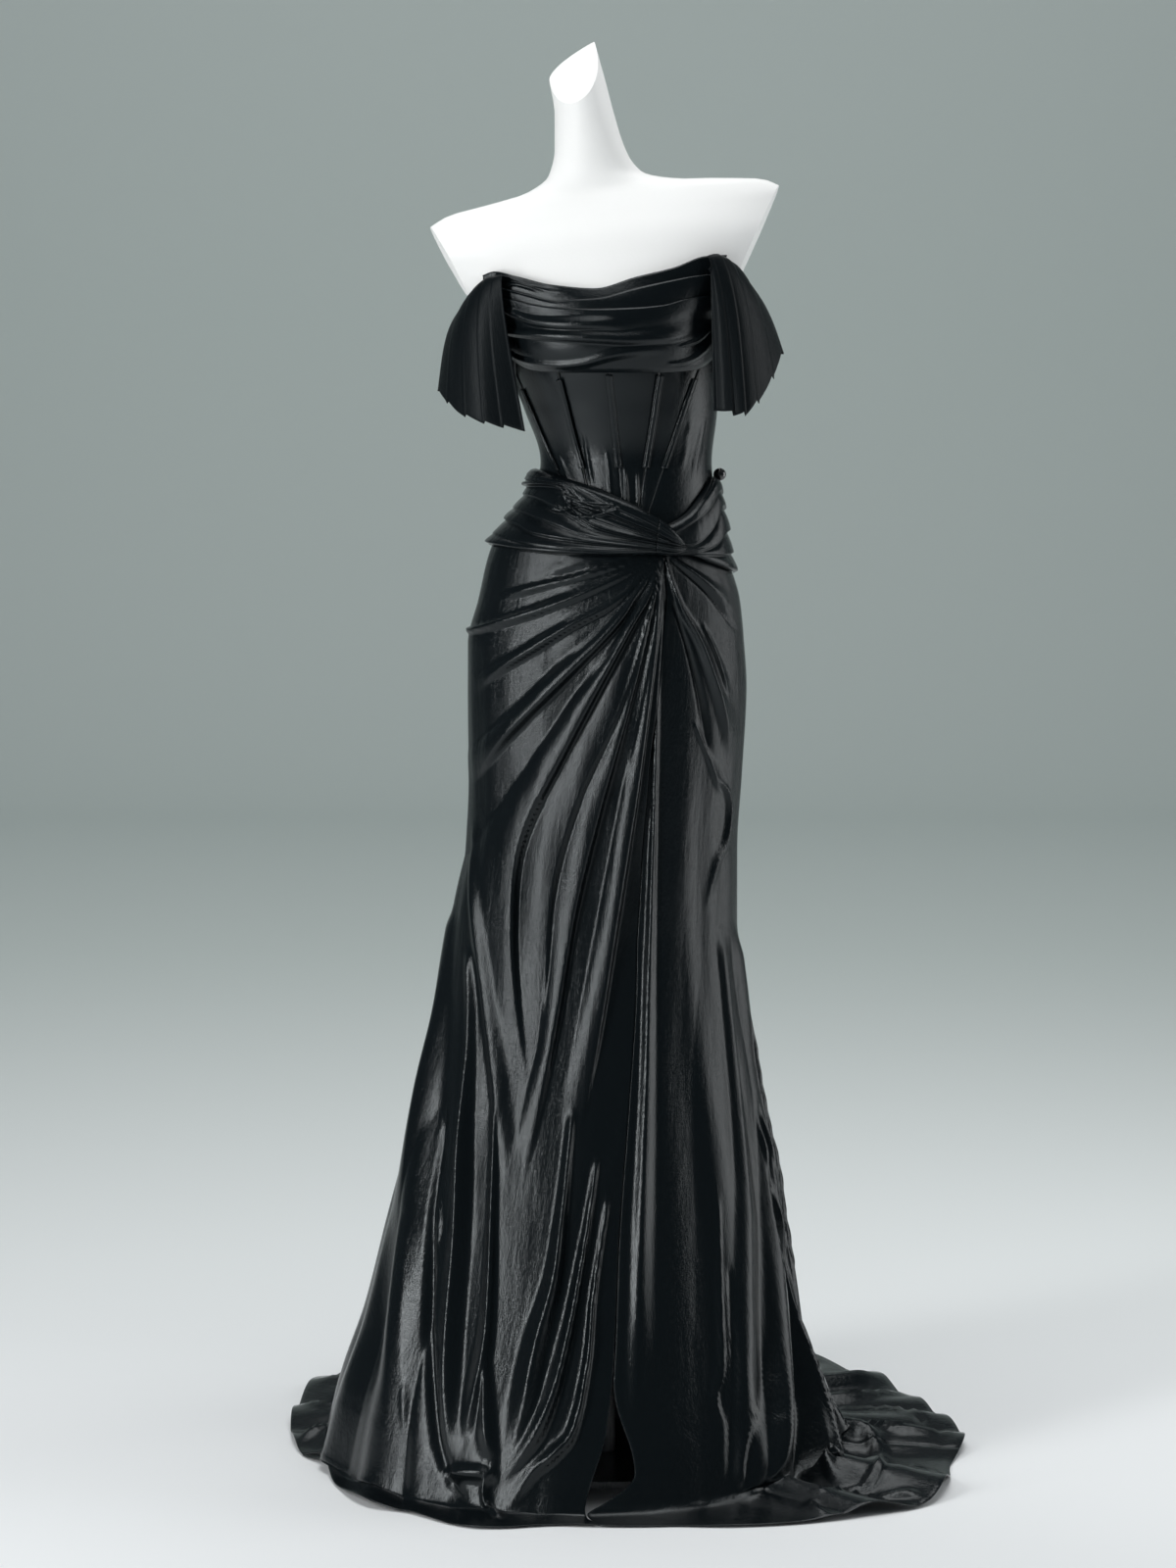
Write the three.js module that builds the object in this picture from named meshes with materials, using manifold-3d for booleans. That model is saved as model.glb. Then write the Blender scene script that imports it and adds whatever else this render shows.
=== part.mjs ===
// A mermaid gown of black satin, worn by a limbless dress form on a pole stand: boned bodice, cowl neckline,
// off-shoulder pleated sleeves, waist wraps meeting in a knot, and a draped skirt with a front slit and a sweep train.
// Millimetres, +Z up. The origin is on the floor under the pole. The gown's front faces -Y, and its wearer's right is -X.
import * as THREE from "three";
import Module from "manifold-3d";
import { mergeVertices } from "three/addons/utils/BufferGeometryUtils.js";

const wasm = await Module();
wasm.setup();

// ---- Driving dimensions
const CLOTH = 2; // wall of doubled satin
const TRIM = 1; // wall of a boning channel
const SEAM = 0.3; // gap between neighbouring pieces
const EASE = 1.8; // gap between the bodice and the form
const SKIRT_EASE = 3.4; // gap between the skirt and the form
const WAIST_SEAM = 1075; // height of the seam of bodice and skirt, under the wraps
const FORM_FOOT = 800; // height of the form's flat bottom
const FLOOR_TURN = 20; // radius of the bend where the skirt meets the floor
const FLOOR_PATH = 200; // nominal length of the skirt's path on the floor, from its foot to its hem
const HEM_LIFT = CLOTH + 0.3; // height of the cloth's upper face where it lies flat
const POLE_RADIUS = 12.5;
const BASE_RADIUS = 150;
const BASE_HEIGHT = 8;
const SLIT_TOP = 1060; // height where the two front skirt panels part
const BUTTON_RADIUS = 7.5;

// ---- Tables. Angles are degrees round the gown: -90 front, 0 its left side (+X), 90 back, 180 its right side.

// Sections of the gown's base line: the outer face of the bodice, and of the skirt before its folds.
const SECTIONS = [
  { z: 1385, left: -186, right: 190, front: -92, back: 86, tilt: 0.08 },
  { z: 1360, left: -164, right: 169, front: -102, back: 90, tilt: 0.07 },
  { z: 1335, left: -135, right: 141, front: -113, back: 93, tilt: 0.06 },
  { z: 1305, left: -119, right: 125, front: -121, back: 94, tilt: 0.06 },
  { z: 1262, left: -108, right: 127, front: -112, back: 90, tilt: 0.04 },
  { z: 1218, left: -92, right: 129, front: -97, back: 85, tilt: 0.02 },
  { z: 1158, left: -74, right: 123, front: -84, back: 80, tilt: 0 },
  { z: 1129, left: -80, right: 125, front: -87, back: 83, tilt: 0 },
  { z: 1092, left: -106, right: 131, front: -93, back: 93, tilt: 0 },
  { z: 1060, left: -130, right: 137, front: -97, back: 103, tilt: 0 },
  { z: 1000, left: -145, right: 155, front: -102, back: 119, tilt: 0 },
  { z: 950, left: -157, right: 160, front: -106, back: 130, tilt: 0 },
  { z: 900, left: -157, right: 163, front: -107, back: 136, tilt: 0 },
  { z: 800, left: -156, right: 158, front: -108, back: 134, tilt: 0 },
  { z: 715, left: -160, right: 153, front: -110, back: 130, tilt: 0 },
  { z: 630, left: -172, right: 153, front: -114, back: 132, tilt: 0 },
  { z: 555, left: -184, right: 158, front: -124, back: 142, tilt: 0 },
  { z: 470, left: -200, right: 163, front: -141, back: 162, tilt: 0 },
  { z: 376, left: -220, right: 174, front: -165, back: 192, tilt: 0 },
  { z: 270, left: -247, right: 190, front: -196, back: 232, tilt: 0 },
  { z: 167, left: -272, right: 208, front: -232, back: 276, tilt: 0 },
  { z: 83, left: -300, right: 236, front: -262, back: 314, tilt: 0 },
  { z: 0, left: -318, right: 262, front: -284, back: 346, tilt: 0 },
];

// The form above the bodice: shoulders cut off at the arms, and a neck that leans to -X.
const SHOULDERS = [
  { z: 1412, left: -205, right: 207, front: -77, back: 78, tilt: 0.098 },
  { z: 1436, left: -206, right: 208, front: -61, back: 66, tilt: 0.11 },
  { z: 1456, left: -180, right: 182, front: -48, back: 56, tilt: 0.116 },
  { z: 1463, left: -137, right: 137, front: -44, back: 54, tilt: 0.116 },
  { z: 1470, left: -90, right: 82, front: -42, back: 54, tilt: 0.1 },
  { z: 1484, left: -64, right: 42, front: -42, back: 50, tilt: 0.05 },
  { z: 1510, left: -57, right: 24, front: -46, back: 38, tilt: 0 },
  { z: 1549, left: -57, right: 11, front: -52, back: 26, tilt: 0 },
  { z: 1590, left: -63, right: 0, front: -58, back: 14, tilt: 0 },
  { z: 1640, left: -68, right: -14, front: -64, back: 2, tilt: 0 },
];

// The hem's outline on the floor, as its reach from the origin in each direction.
const HEM = [
  { angle: -180, reach: 352 },
  { angle: -170, reach: 326 },
  { angle: -153, reach: 337 },
  { angle: -139, reach: 349 },
  { angle: -130, reach: 336 },
  { angle: -115, reach: 350 },
  { angle: -98, reach: 313 },
  { angle: -78, reach: 320 },
  { angle: -66, reach: 345 },
  { angle: -45, reach: 392 },
  { angle: -30, reach: 424 },
  { angle: -18, reach: 412 },
  { angle: -8, reach: 402 },
  { angle: 7, reach: 428 },
  { angle: 23, reach: 438 },
  { angle: 36, reach: 460 },
  { angle: 48, reach: 505 },
  { angle: 60, reach: 545 },
  { angle: 90, reach: 596 },
  { angle: 112, reach: 576 },
  { angle: 132, reach: 515 },
  { angle: 150, reach: 432 },
  { angle: 168, reach: 378 },
  { angle: 180, reach: 352 },
];

// The skirt's largest folds, as ridges from where they start to the hem. Each row has the ridge's angle at three
// heights, its height there above the base line, and half its width in degrees at the foot.
const FOLDS = [
  { start: 640, top: -168, mid: -164, foot: -168, rise: 12, footRise: 16, spread: 8 },
  { start: 450, top: -160, mid: -143, foot: -142, rise: 14, footRise: 14, spread: 9 },
  { start: 620, top: -152, mid: -130, foot: -126, rise: 12, footRise: 14, spread: 6 },
  { start: 620, top: -144, mid: -116, foot: -114, rise: 11, footRise: 12, spread: 6 },
  { start: 900, top: -76, mid: -94, foot: -104, rise: 11, footRise: 12, spread: 5 },
  { start: 420, top: -82, mid: -86, foot: -96, rise: 10, footRise: 10, spread: 5 },
  { start: 980, top: -52, mid: -64, foot: -68, rise: 12, footRise: 10, spread: 7 },
  { start: 600, top: -40, mid: -38, foot: -52, rise: 12, footRise: 16, spread: 9 },
  { start: 640, top: -12, mid: -18, foot: -42, rise: 13, footRise: 26, spread: 6 },
  { start: 420, top: -2, mid: -4, foot: -24, rise: 15, footRise: 34, spread: 7 },
  { start: 560, top: 12, mid: 8, foot: 5, rise: 14, footRise: 26, spread: 7 },
  { start: 600, top: 26, mid: 22, foot: 18, rise: 15, footRise: 22, spread: 7 },
  { start: 560, top: 40, mid: 37, foot: 30, rise: 15, footRise: 24, spread: 6 },
  { start: 620, top: 54, mid: 50, foot: 45, rise: 16, footRise: 26, spread: 7 },
  { start: 540, top: 68, mid: 66, foot: 62, rise: 15, footRise: 24, spread: 7 },
  { start: 600, top: 84, mid: 83, foot: 80, rise: 16, footRise: 26, spread: 8 },
  { start: 600, top: 99, mid: 100, foot: 101, rise: 16, footRise: 24, spread: 8 },
  { start: 560, top: 114, mid: 117, foot: 120, rise: 15, footRise: 26, spread: 8 },
  { start: 620, top: 130, mid: 134, foot: 139, rise: 15, footRise: 24, spread: 7 },
  { start: 560, top: 146, mid: 150, foot: 156, rise: 14, footRise: 26, spread: 7 },
  { start: 600, top: 162, mid: 167, foot: 171, rise: 13, footRise: 16, spread: 6 },
];
const FOLD_MID = 300; // height of the folds' middle station

// The slit: its angle along the skirt's path, from the hem (negative along the floor) up to where the panels part.
const SLIT = [
  { path: -200, angle: -91 },
  { path: 0, angle: -89 },
  { path: 90, angle: -83 },
  { path: 170, angle: -80 },
  { path: 300, angle: -78.5 },
  { path: 540, angle: -74 },
  { path: 800, angle: -73 },
  { path: 910, angle: -69 },
  { path: SLIT_TOP, angle: -62 },
];

// Seams of the bodice: their angle under the bust and at the waist.
const BODICE_SEAMS = [
  { name: "side_right", bust: -180, waist: -180, channel: false },
  { name: "outer_right", bust: -160, waist: -128, channel: true },
  { name: "inner_right", bust: -123, waist: -113, channel: true },
  { name: "centre_front", bust: -93, waist: -92, channel: true },
  { name: "inner_left", bust: -63, waist: -79, channel: true },
  { name: "outer_left", bust: -37, waist: -70, channel: true },
  { name: "side_left", bust: 0, waist: 0, channel: false },
  { name: "back_left", bust: 44, waist: 56, channel: true },
  { name: "centre_back", bust: 90, waist: 90, channel: false },
  { name: "back_right", bust: 136, waist: 124, channel: true },
  { name: "side_right", bust: 180, waist: 180, channel: false },
];
const BUST_LEVEL = 1250;
const WAIST_LEVEL = 1120;

// The bodice's upper edge.
const BODICE_TOP = [
  { angle: -180, z: 1296 },
  { angle: -150, z: 1318 },
  { angle: -90, z: 1330 },
  { angle: -30, z: 1318 },
  { angle: 0, z: 1296 },
  { angle: 90, z: 1286 },
  { angle: 180, z: 1296 },
];

// Edges of the cowl's three layers, lowest layer first.
const COWL_EDGES = [
  { angle: -172, hem: 1280, band: 1342, middle: 1356, top: 1364 },
  { angle: -158, hem: 1275, band: 1342, middle: 1356, top: 1366 },
  { angle: -140, hem: 1261, band: 1341, middle: 1354, top: 1366 },
  { angle: -132, hem: 1259, band: 1338, middle: 1351, top: 1370 },
  { angle: -124, hem: 1258, band: 1332, middle: 1345, top: 1364 },
  { angle: -112, hem: 1257, band: 1328, middle: 1336, top: 1354 },
  { angle: -95, hem: 1257, band: 1326, middle: 1338, top: 1349 },
  { angle: -79, hem: 1257, band: 1327, middle: 1349, top: 1362 },
  { angle: -65, hem: 1257, band: 1330, middle: 1358, top: 1373 },
  { angle: -54, hem: 1258, band: 1337, middle: 1364, top: 1386 },
  { angle: -40, hem: 1261, band: 1342, middle: 1367, top: 1388 },
  { angle: -22, hem: 1272, band: 1344, middle: 1368, top: 1388 },
  { angle: -8, hem: 1280, band: 1344, middle: 1368, top: 1388 },
];

const COWL_ENDS = { rightLow: -170, rightHigh: -133.4, leftLow: -10, leftHigh: -49.6, low: 1265, high: 1365 };

// Edges of the waist wraps: the right one runs from the wearer's right hip to the knot, the left one from there on.
const WRAP_RIGHT = [
  { angle: -190, top: 1148, low: 1064, topOut: 1.7, lowOut: 2 },
  { angle: -180, top: 1150, low: 1062, topOut: 8, lowOut: 4 },
  { angle: -160, top: 1149, low: 1062, topOut: 9, lowOut: 6 },
  { angle: -115, top: 1133, low: 1054, topOut: 9, lowOut: 8 },
  { angle: -85, top: 1113, low: 1053, topOut: 9, lowOut: 9 },
  { angle: -68, top: 1096, low: 1054, topOut: 10, lowOut: 9 },
];
const WRAP_LEFT = [
  { angle: -63, top: 1086, low: 1053, topOut: 3.5, lowOut: 3.5 },
  { angle: -51.3, top: 1098, low: 1053, topOut: 4.5, lowOut: 4.5 },
  { angle: -35, top: 1122, low: 1044, topOut: 6, lowOut: 4 },
  { angle: -15, top: 1141, low: 1034, topOut: 5, lowOut: 2.5 },
  { angle: 3, top: 1131, low: 1030, topOut: 3, lowOut: 1 },
];

// The knot: the right wrap's folds turned under in a narrowing tip.
const KNOT = [
  { angle: -67.7, top: 1096, low: 1054, topOut: 11, lowOut: 10 },
  { angle: -60, top: 1084, low: 1053, topOut: 14, lowOut: 12 },
  { angle: -55, top: 1074, low: 1055, topOut: 13.5, lowOut: 12.5 },
  { angle: -51.7, top: 1065, low: 1058, topOut: 12, lowOut: 12 },
];

// A sleeve on the wearer's right: points along its gathered head and its open end, from the front round to the back.
const SLEEVE_RIGHT = [
  { u: 0, headX: -118, headY: -96, headZ: 1366, endX: -99, endY: -88, endZ: 1192 },
  { u: 0.22, headX: -130, headY: -84, headZ: 1366, endX: -130, endY: -96, endZ: 1199 },
  { u: 0.42, headX: -150, headY: -56, headZ: 1350, endX: -166, endY: -72, endZ: 1212 },
  { u: 0.58, headX: -160, headY: -6, headZ: 1332, endX: -191, endY: -14, endZ: 1238 },
  { u: 0.76, headX: -150, headY: 48, headZ: 1332, endX: -182, endY: 50, endZ: 1232 },
  { u: 1, headX: -126, headY: 92, headZ: 1290, endX: -122, endY: 104, endZ: 1206 },
];
const SLEEVE_LEFT = [
  { u: 0, headX: 121.2, headY: -96, headZ: 1378, endX: 129, endY: -76, endZ: 1217 },
  { u: 0.22, headX: 126, headY: -94, headZ: 1391, endX: 152, endY: -90, endZ: 1210 },
  { u: 0.42, headX: 144, headY: -64, headZ: 1380, endX: 184, endY: -68, endZ: 1238 },
  { u: 0.58, headX: 160, headY: -6, headZ: 1356, endX: 204, endY: -12, endZ: 1280 },
  { u: 0.76, headX: 153, headY: 48, headZ: 1348, endX: 190, endY: 50, endZ: 1258 },
  { u: 1, headX: 132, headY: 92, headZ: 1296, endX: 136, endY: 104, endZ: 1216 },
];
const SLEEVE_PLEATS = 8;
const PLEAT_DEPTH = 5;

// ---- Reading tables

const radians = (degrees) => (degrees * Math.PI) / 180;
const clamp = (value, low = 0, high = 1) => Math.min(high, Math.max(low, value));
const ease = (t) => clamp(t) ** 2 * (3 - 2 * clamp(t));
const mix = (a, b, t) => a + (b - a) * t;

// One column of a table at a value of its key column, on a smooth curve that never overshoots the rows.
function read(table, key, column, at) {
  const rows = table[0][key] < table.at(-1)[key] ? table : [...table].reverse();
  const x = clamp(at, rows[0][key], rows.at(-1)[key]);
  let i = 0;
  while (i < rows.length - 2 && x > rows[i + 1][key]) i++;
  const step = (k) => rows[k + 1][key] - rows[k][key];
  const slope = (k) => (rows[k + 1][column] - rows[k][column]) / step(k);
  const tangent = (k) => {
    if (k === 0) return slope(0);
    if (k === rows.length - 1) return slope(k - 1);
    const [a, b] = [slope(k - 1), slope(k)];
    return a * b <= 0 ? 0 : (2 * a * b) / (a + b);
  };
  const t = (x - rows[i][key]) / step(i);
  return (
    rows[i][column] * (1 + 2 * t) * (1 - t) ** 2 +
    step(i) * tangent(i) * t * (1 - t) ** 2 +
    rows[i + 1][column] * t * t * (3 - 2 * t) +
    step(i) * tangent(i + 1) * t * t * (t - 1)
  );
}

// ---- Surfaces

// A point on a table's section, moved out from it.
function ringPoint(table, angle, z, out = 0) {
  const [left, right] = ["left", "right"].map((side) => read(table, "z", side, z));
  const [c, s] = [Math.cos(radians(angle)), Math.sin(radians(angle))];
  const half = (right - left) / 2;
  const depth = s < 0 ? -read(table, "z", "front", z) : read(table, "z", "back", z);
  const normal = new THREE.Vector2(c / half, s / depth).normalize();
  const x = (left + right) / 2 + half * c + out * normal.x;
  return new THREE.Vector3(x, depth * s + out * normal.y, z + read(table, "z", "tilt", z) * x);
}

const gownPoint = (angle, z, out) => ringPoint(SECTIONS, angle, z, out);

// The skirt before its folds. Its path is the height above the floor, and goes on below 0 along the floor.
function skirtBase(angle, path) {
  const point = gownPoint(angle, Math.max(path, 0), 0);
  if (path < 0) {
    const reach = read(HEM, "angle", "reach", angle);
    const share = -path / FLOOR_PATH;
    point.x = mix(point.x, reach * Math.cos(radians(angle)), share);
    point.y = mix(point.y, reach * Math.sin(radians(angle)), share);
  }
  const bend = (path + Math.hypot(path, FLOOR_TURN)) / 2;
  point.z = path > 4 * FLOOR_TURN ? point.z : HEM_LIFT + bend * (path > 0 ? 1 - HEM_LIFT / 80 : 1);
  return point;
}

// Where a fold's ridge runs, as an angle.
function ridgeAngle(fold, path) {
  const low = clamp((FOLD_MID - path) / FOLD_MID);
  const high = clamp((path - FOLD_MID) / (fold.start - FOLD_MID));
  return path > FOLD_MID ? mix(fold.mid, fold.top, high) : mix(fold.mid, fold.foot, low);
}

// How far the large folds stand out from the base line.
function foldRise(angle, path) {
  let rise = 0;
  for (const fold of FOLDS) {
    const low = clamp((FOLD_MID - path) / FOLD_MID);
    const high = clamp((path - FOLD_MID) / (fold.start - FOLD_MID));
    const height = path > FOLD_MID ? fold.rise * ease(1 - high) : mix(fold.rise, fold.footRise, low);
    const width = fold.spread * mix(1.5, 1, low);
    const away = Math.abs(((angle - ridgeAngle(fold, path) + 540) % 360) - 180) / width;
    rise = Math.max(rise, height * ease(1 - away / 1.6));
  }
  return path < 0 ? rise * mix(1, 0.55, -path / FLOOR_PATH) : rise;
}

const normalOf = (surface, a, b, stepA, stepB) => {
  const across = surface(a + stepA, b).sub(surface(a - stepA, b));
  const along = surface(a, b - stepB).sub(surface(a, b + stepB));
  return across.cross(along).negate().normalize();
};

function skirtPoint(angle, path) {
  const point = skirtBase(angle, path);
  return point.addScaledVector(normalOf(skirtBase, angle, path, 0.5, 2), foldRise(angle, path));
}

// ---- Solids

// A closed wall from a grid of outer points and a grid of inner ones, rows by columns.
function wall(outer, inner) {
  const rows = outer.length;
  const columns = outer[0].length;
  const points = [...outer.flat(), ...inner.flat()];
  const at = (side, r, c) => side * rows * columns + r * columns + c;
  const faces = [];
  const quad = (a, b, c, d) => faces.push(a, b, c, a, c, d);
  for (let r = 0; r < rows - 1; r++) {
    for (let c = 0; c < columns - 1; c++) {
      quad(at(0, r, c), at(0, r + 1, c), at(0, r + 1, c + 1), at(0, r, c + 1));
      quad(at(1, r, c), at(1, r, c + 1), at(1, r + 1, c + 1), at(1, r + 1, c));
    }
    quad(at(0, r, 0), at(1, r, 0), at(1, r + 1, 0), at(0, r + 1, 0));
    quad(at(0, r, columns - 1), at(0, r + 1, columns - 1), at(1, r + 1, columns - 1), at(1, r, columns - 1));
  }
  for (let c = 0; c < columns - 1; c++) {
    quad(at(0, 0, c), at(0, 0, c + 1), at(1, 0, c + 1), at(1, 0, c));
    quad(at(0, rows - 1, c), at(1, rows - 1, c), at(1, rows - 1, c + 1), at(0, rows - 1, c + 1));
  }
  return solidGeometry(points, faces);
}

// A closed loft through whole rings, with a fan to the middle of each end ring.
function loft(rings) {
  const columns = rings[0].length;
  const middle = (ring) =>
    ring.reduce((sum, p) => sum.add(p), new THREE.Vector3()).divideScalar(columns);
  const points = [...rings.flat(), middle(rings[0]), middle(rings.at(-1))];
  const last = (rings.length - 1) * columns;
  const faces = [];
  for (let c = 0; c < columns; c++) {
    const d = (c + 1) % columns;
    for (let r = 0; r < last; r += columns) {
      faces.push(r + c, r + columns + c, r + columns + d, r + c, r + columns + d, r + d);
    }
    faces.push(points.length - 2, c, d, points.length - 1, last + d, last + c);
  }
  return solidGeometry(points, faces);
}

function solidGeometry(points, faces) {
  const geometry = new THREE.BufferGeometry();
  geometry.setAttribute("position", new THREE.Float32BufferAttribute(points.flatMap((p) => p.toArray()), 3));
  geometry.setIndex(faces);
  return geometry;
}

function spread(from, to, count) {
  return Array.from({ length: count + 1 }, (_, i) => mix(from, to, i / count));
}

// A wall on a surface of two parameters, with its normals from that surface.
function sheet(surface, rows, columnsOf, thickness = CLOTH) {
  const outer = [];
  const inner = [];
  for (const b of rows) {
    const line = columnsOf(b).map((a) => [surface(a, b), normalOf(surface, a, b, 0.4, 1)]);
    outer.push(line.map(([point]) => point));
    inner.push(line.map(([point, normal]) => point.clone().addScaledVector(normal, -thickness)));
  }
  return wall(outer, inner);
}

// The angle that a length covers round the gown, at a height.
function angleOf(length, angle, z) {
  const step = 0.5;
  return length / (gownPoint(angle + step, z, 0).distanceTo(gownPoint(angle, z, 0)) / step);
}

const group = new THREE.Group();
const SATIN = new THREE.MeshStandardMaterial({ color: 0x14171a, roughness: 0.34, metalness: 0 });
const FORM = new THREE.MeshStandardMaterial({ color: 0xeeeeec, roughness: 0.55, metalness: 0 });
const STEEL = new THREE.MeshStandardMaterial({ color: 0xc9cbcc, roughness: 0.3, metalness: 1 });
const GLOSS = new THREE.MeshStandardMaterial({ color: 0x101214, roughness: 0.12, metalness: 0 });

function add(name, geometry, material) {
  const mesh = new THREE.Mesh(geometry, material);
  mesh.name = name;
  group.add(mesh);
  return mesh;
}

// ---- Bodice

const seamAngle = (seam, z) => {
  const share = (z - WAIST_LEVEL) / (BUST_LEVEL - WAIST_LEVEL);
  if (seam.bust >= 0 || seam.bust === -180 || share < 0) return mix(seam.waist, seam.bust, clamp(share, -0.25, 1.1));
  const x = mix(gownPoint(seam.waist, WAIST_LEVEL).x, gownPoint(seam.bust, BUST_LEVEL).x, Math.min(share, 1.1));
  const left = read(SECTIONS, "z", "left", z);
  const right = read(SECTIONS, "z", "right", z);
  return (-Math.acos(clamp((2 * x - left - right) / (right - left), -1)) * 180) / Math.PI;
};

// The bodice, with its rows as shares of the way from the waist seam to the upper edge.
function bodicePoint(angle, share, out = 0) {
  const top = read(BODICE_TOP, "angle", "z", angle);
  return gownPoint(angle, mix(WAIST_SEAM + SEAM, top, share), out);
}

const BODICE_ROWS = [1, 0.93, 0.84, 0.7, 0.55, 0.42, 0.3, 0.15, 0];
const heightAt = (share) => mix(WAIST_SEAM, 1315, share);

function bodicePanel(name, from, to, columns) {
  const inset = (angle, share) => angleOf(SEAM / 2, angle, heightAt(share));
  const columnsOf = (share) => {
    const [a, b] = [from, to].map((seam) => seamAngle(seam, heightAt(share)));
    return spread(a + inset(a, share), b - inset(b, share), columns);
  };
  add(name, sheet((a, b) => bodicePoint(a, b), BODICE_ROWS, columnsOf), SATIN);
}

const PANEL_NAMES = [
  "bodice_side_right",
  "bodice_side_front_right",
  "bodice_centre_front_right",
  "bodice_centre_front_left",
  "bodice_side_front_left",
  "bodice_side_left",
  "bodice_side_back_left",
  "bodice_centre_back_left",
  "bodice_centre_back_right",
  "bodice_side_back_right",
];
PANEL_NAMES.forEach((name, i) => {
  const [from, to] = BODICE_SEAMS.slice(i, i + 2);
  const widest = Math.max(to.bust - from.bust, to.waist - from.waist);
  bodicePanel(name, from, to, Math.max(2, Math.ceil(widest / 10)));
});

// Boning channels lie over the seams, from the waist seam up to just under the cowl, or near the back's edge.
const CHANNEL_WIDTH = 8;
function boningChannel(seam) {
  const rows = BODICE_ROWS.filter((share) => share > 0 && (share <= 0.7 || seam.bust > 0));
  const columnsOf = (share) => {
    const angle = seamAngle(seam, heightAt(share));
    const half = angleOf(CHANNEL_WIDTH / 2, angle, heightAt(share));
    return [angle - half, angle, angle + half];
  };
  const surface = (angle, share) => bodicePoint(angle, share, SEAM + TRIM + 0.5);
  add(`boning_${seam.name}`, sheet(surface, rows, columnsOf, TRIM), SATIN);
}
BODICE_SEAMS.filter((seam) => seam.channel).forEach(boningChannel);

// ---- Cowl

// A cowl layer between two edges. Its share of the way up sets how far it stands out.
function cowlLayer(name, lowEdge, highEdge, overlap, profile) {
  const heightOn = (angle, share) => {
    const edge = (column) => read(COWL_EDGES, "angle", column, angle);
    return mix(edge(lowEdge) - overlap, edge(highEdge), share);
  };
  const surface = (angle, share) => {
    const z = heightOn(angle, share);
    const tilted = z - read(SECTIONS, "z", "tilt", z) * gownPoint(angle, z, 0).x;
    return gownPoint(angle, tilted, SEAM + CLOTH + 0.2 + read(profile, "share", "out", share));
  };
  const columnsOf = (share) => {
    const up = clamp((heightOn(-90, share) - COWL_ENDS.low) / (COWL_ENDS.high - COWL_ENDS.low));
    const right = mix(COWL_ENDS.rightLow, COWL_ENDS.rightHigh, up);
    return spread(right, mix(COWL_ENDS.leftLow, COWL_ENDS.leftHigh, up), 18);
  };
  add(name, sheet(surface, profile.map((row) => row.share).reverse(), columnsOf), SATIN);
}

cowlLayer("cowl_band", "hem", "band", 0, [
  { share: 0, out: 0.8 },
  { share: 0.08, out: 6 },
  { share: 0.35, out: 10 },
  { share: 0.6, out: 9 },
  { share: 0.85, out: 12 },
  { share: 1, out: 12.5 },
]);
cowlLayer("cowl_fold_middle", "band", "middle", 12, [
  { share: 0, out: 9 },
  { share: 0.5, out: 9.2 },
  { share: 1, out: 9 },
]);
cowlLayer("cowl_fold_upper", "middle", "top", 14, [
  { share: 0, out: 6.4 },
  { share: 0.5, out: 6.4 },
  { share: 1, out: 5.6 },
]);

// ---- Sleeves

// A pleated sleeve, open at both ends: straight rulings from its gathered head to its stepped end.
function sleeve(name, table, side) {
  const surface = (u, v) => {
    const get = (column) => read(table, "u", column, clamp(u));
    const head = new THREE.Vector3(get("headX"), get("headY"), get("headZ"));
    const end = new THREE.Vector3(get("endX"), get("endY"), get("endZ"));
    const point = head.lerp(end, v);
    const away = new THREE.Vector3(side, 0, 0.2).lerp(new THREE.Vector3(0, get("headY") < 0 ? -1 : 1, 0), 0.45);
    return point.addScaledVector(away.normalize(), 7 * Math.sin(Math.PI * clamp(v)) * Math.sin(Math.PI * clamp(u)));
  };
  const columns = spread(0, 1, 2 * SLEEVE_PLEATS);
  const outer = [];
  const inner = [];
  for (const v of [0, 0.2, 0.55, 1]) {
    const line = columns.map((u, i) => {
      const normal = normalOf(surface, clamp(u, 0.01, 0.99), v, 0.008 * -side, 0.01);
      const pleat = (i % 2 ? 1 : 0) * PLEAT_DEPTH * mix(0.35, 1, v);
      const point = surface(u, v).addScaledVector(normal, -pleat);
      return [point, point.clone().addScaledVector(normal, -CLOTH)];
    });
    const ordered = side < 0 ? line.reverse() : line;
    outer.push(ordered.map(([point]) => point));
    inner.push(ordered.map(([, point]) => point));
  }
  add(name, wall(outer, inner), SATIN);
}

sleeve("sleeve_right", SLEEVE_RIGHT, -1);
sleeve("sleeve_left", SLEEVE_LEFT, 1);

// ---- Waist wraps, knot and side button

function waistWrap(name, table, columns) {
  const surface = (angle, share) => {
    const get = (column) => read(table, "angle", column, angle);
    const z = mix(get("low"), get("top"), share);
    const hollow = 4 * Math.sin(Math.PI * clamp(share)) * ease((get("topOut") - 4) / 5);
    return gownPoint(angle, z, CLOTH + SEAM + mix(get("lowOut"), get("topOut"), share) - hollow);
  };
  const angles = spread(table[0].angle, table.at(-1).angle, columns);
  add(name, sheet(surface, [1, 0.85, 0.6, 0.35, 0.12, 0], () => angles), SATIN);
}

waistWrap("waist_wrap_right", WRAP_RIGHT, 16);
waistWrap("waist_wrap_left", WRAP_LEFT, 10);
waistWrap("knot", KNOT, 7);

function sideButton() {
  const seat = gownPoint(-3, 1143, 0);
  const ball = new THREE.SphereGeometry(BUTTON_RADIUS, 16, 10);
  ball.deleteAttribute("normal");
  ball.deleteAttribute("uv");
  const direction = gownPoint(-3, 1143, 10).sub(seat).normalize();
  ball.rotateZ(radians(11));
  ball.translate(...seat.addScaledVector(direction, BUTTON_RADIUS + SEAM).toArray());
  return mergeVertices(ball, 1e-3);
}
add("side_button", sideButton(), GLOSS);

// ---- Skirt

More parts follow.
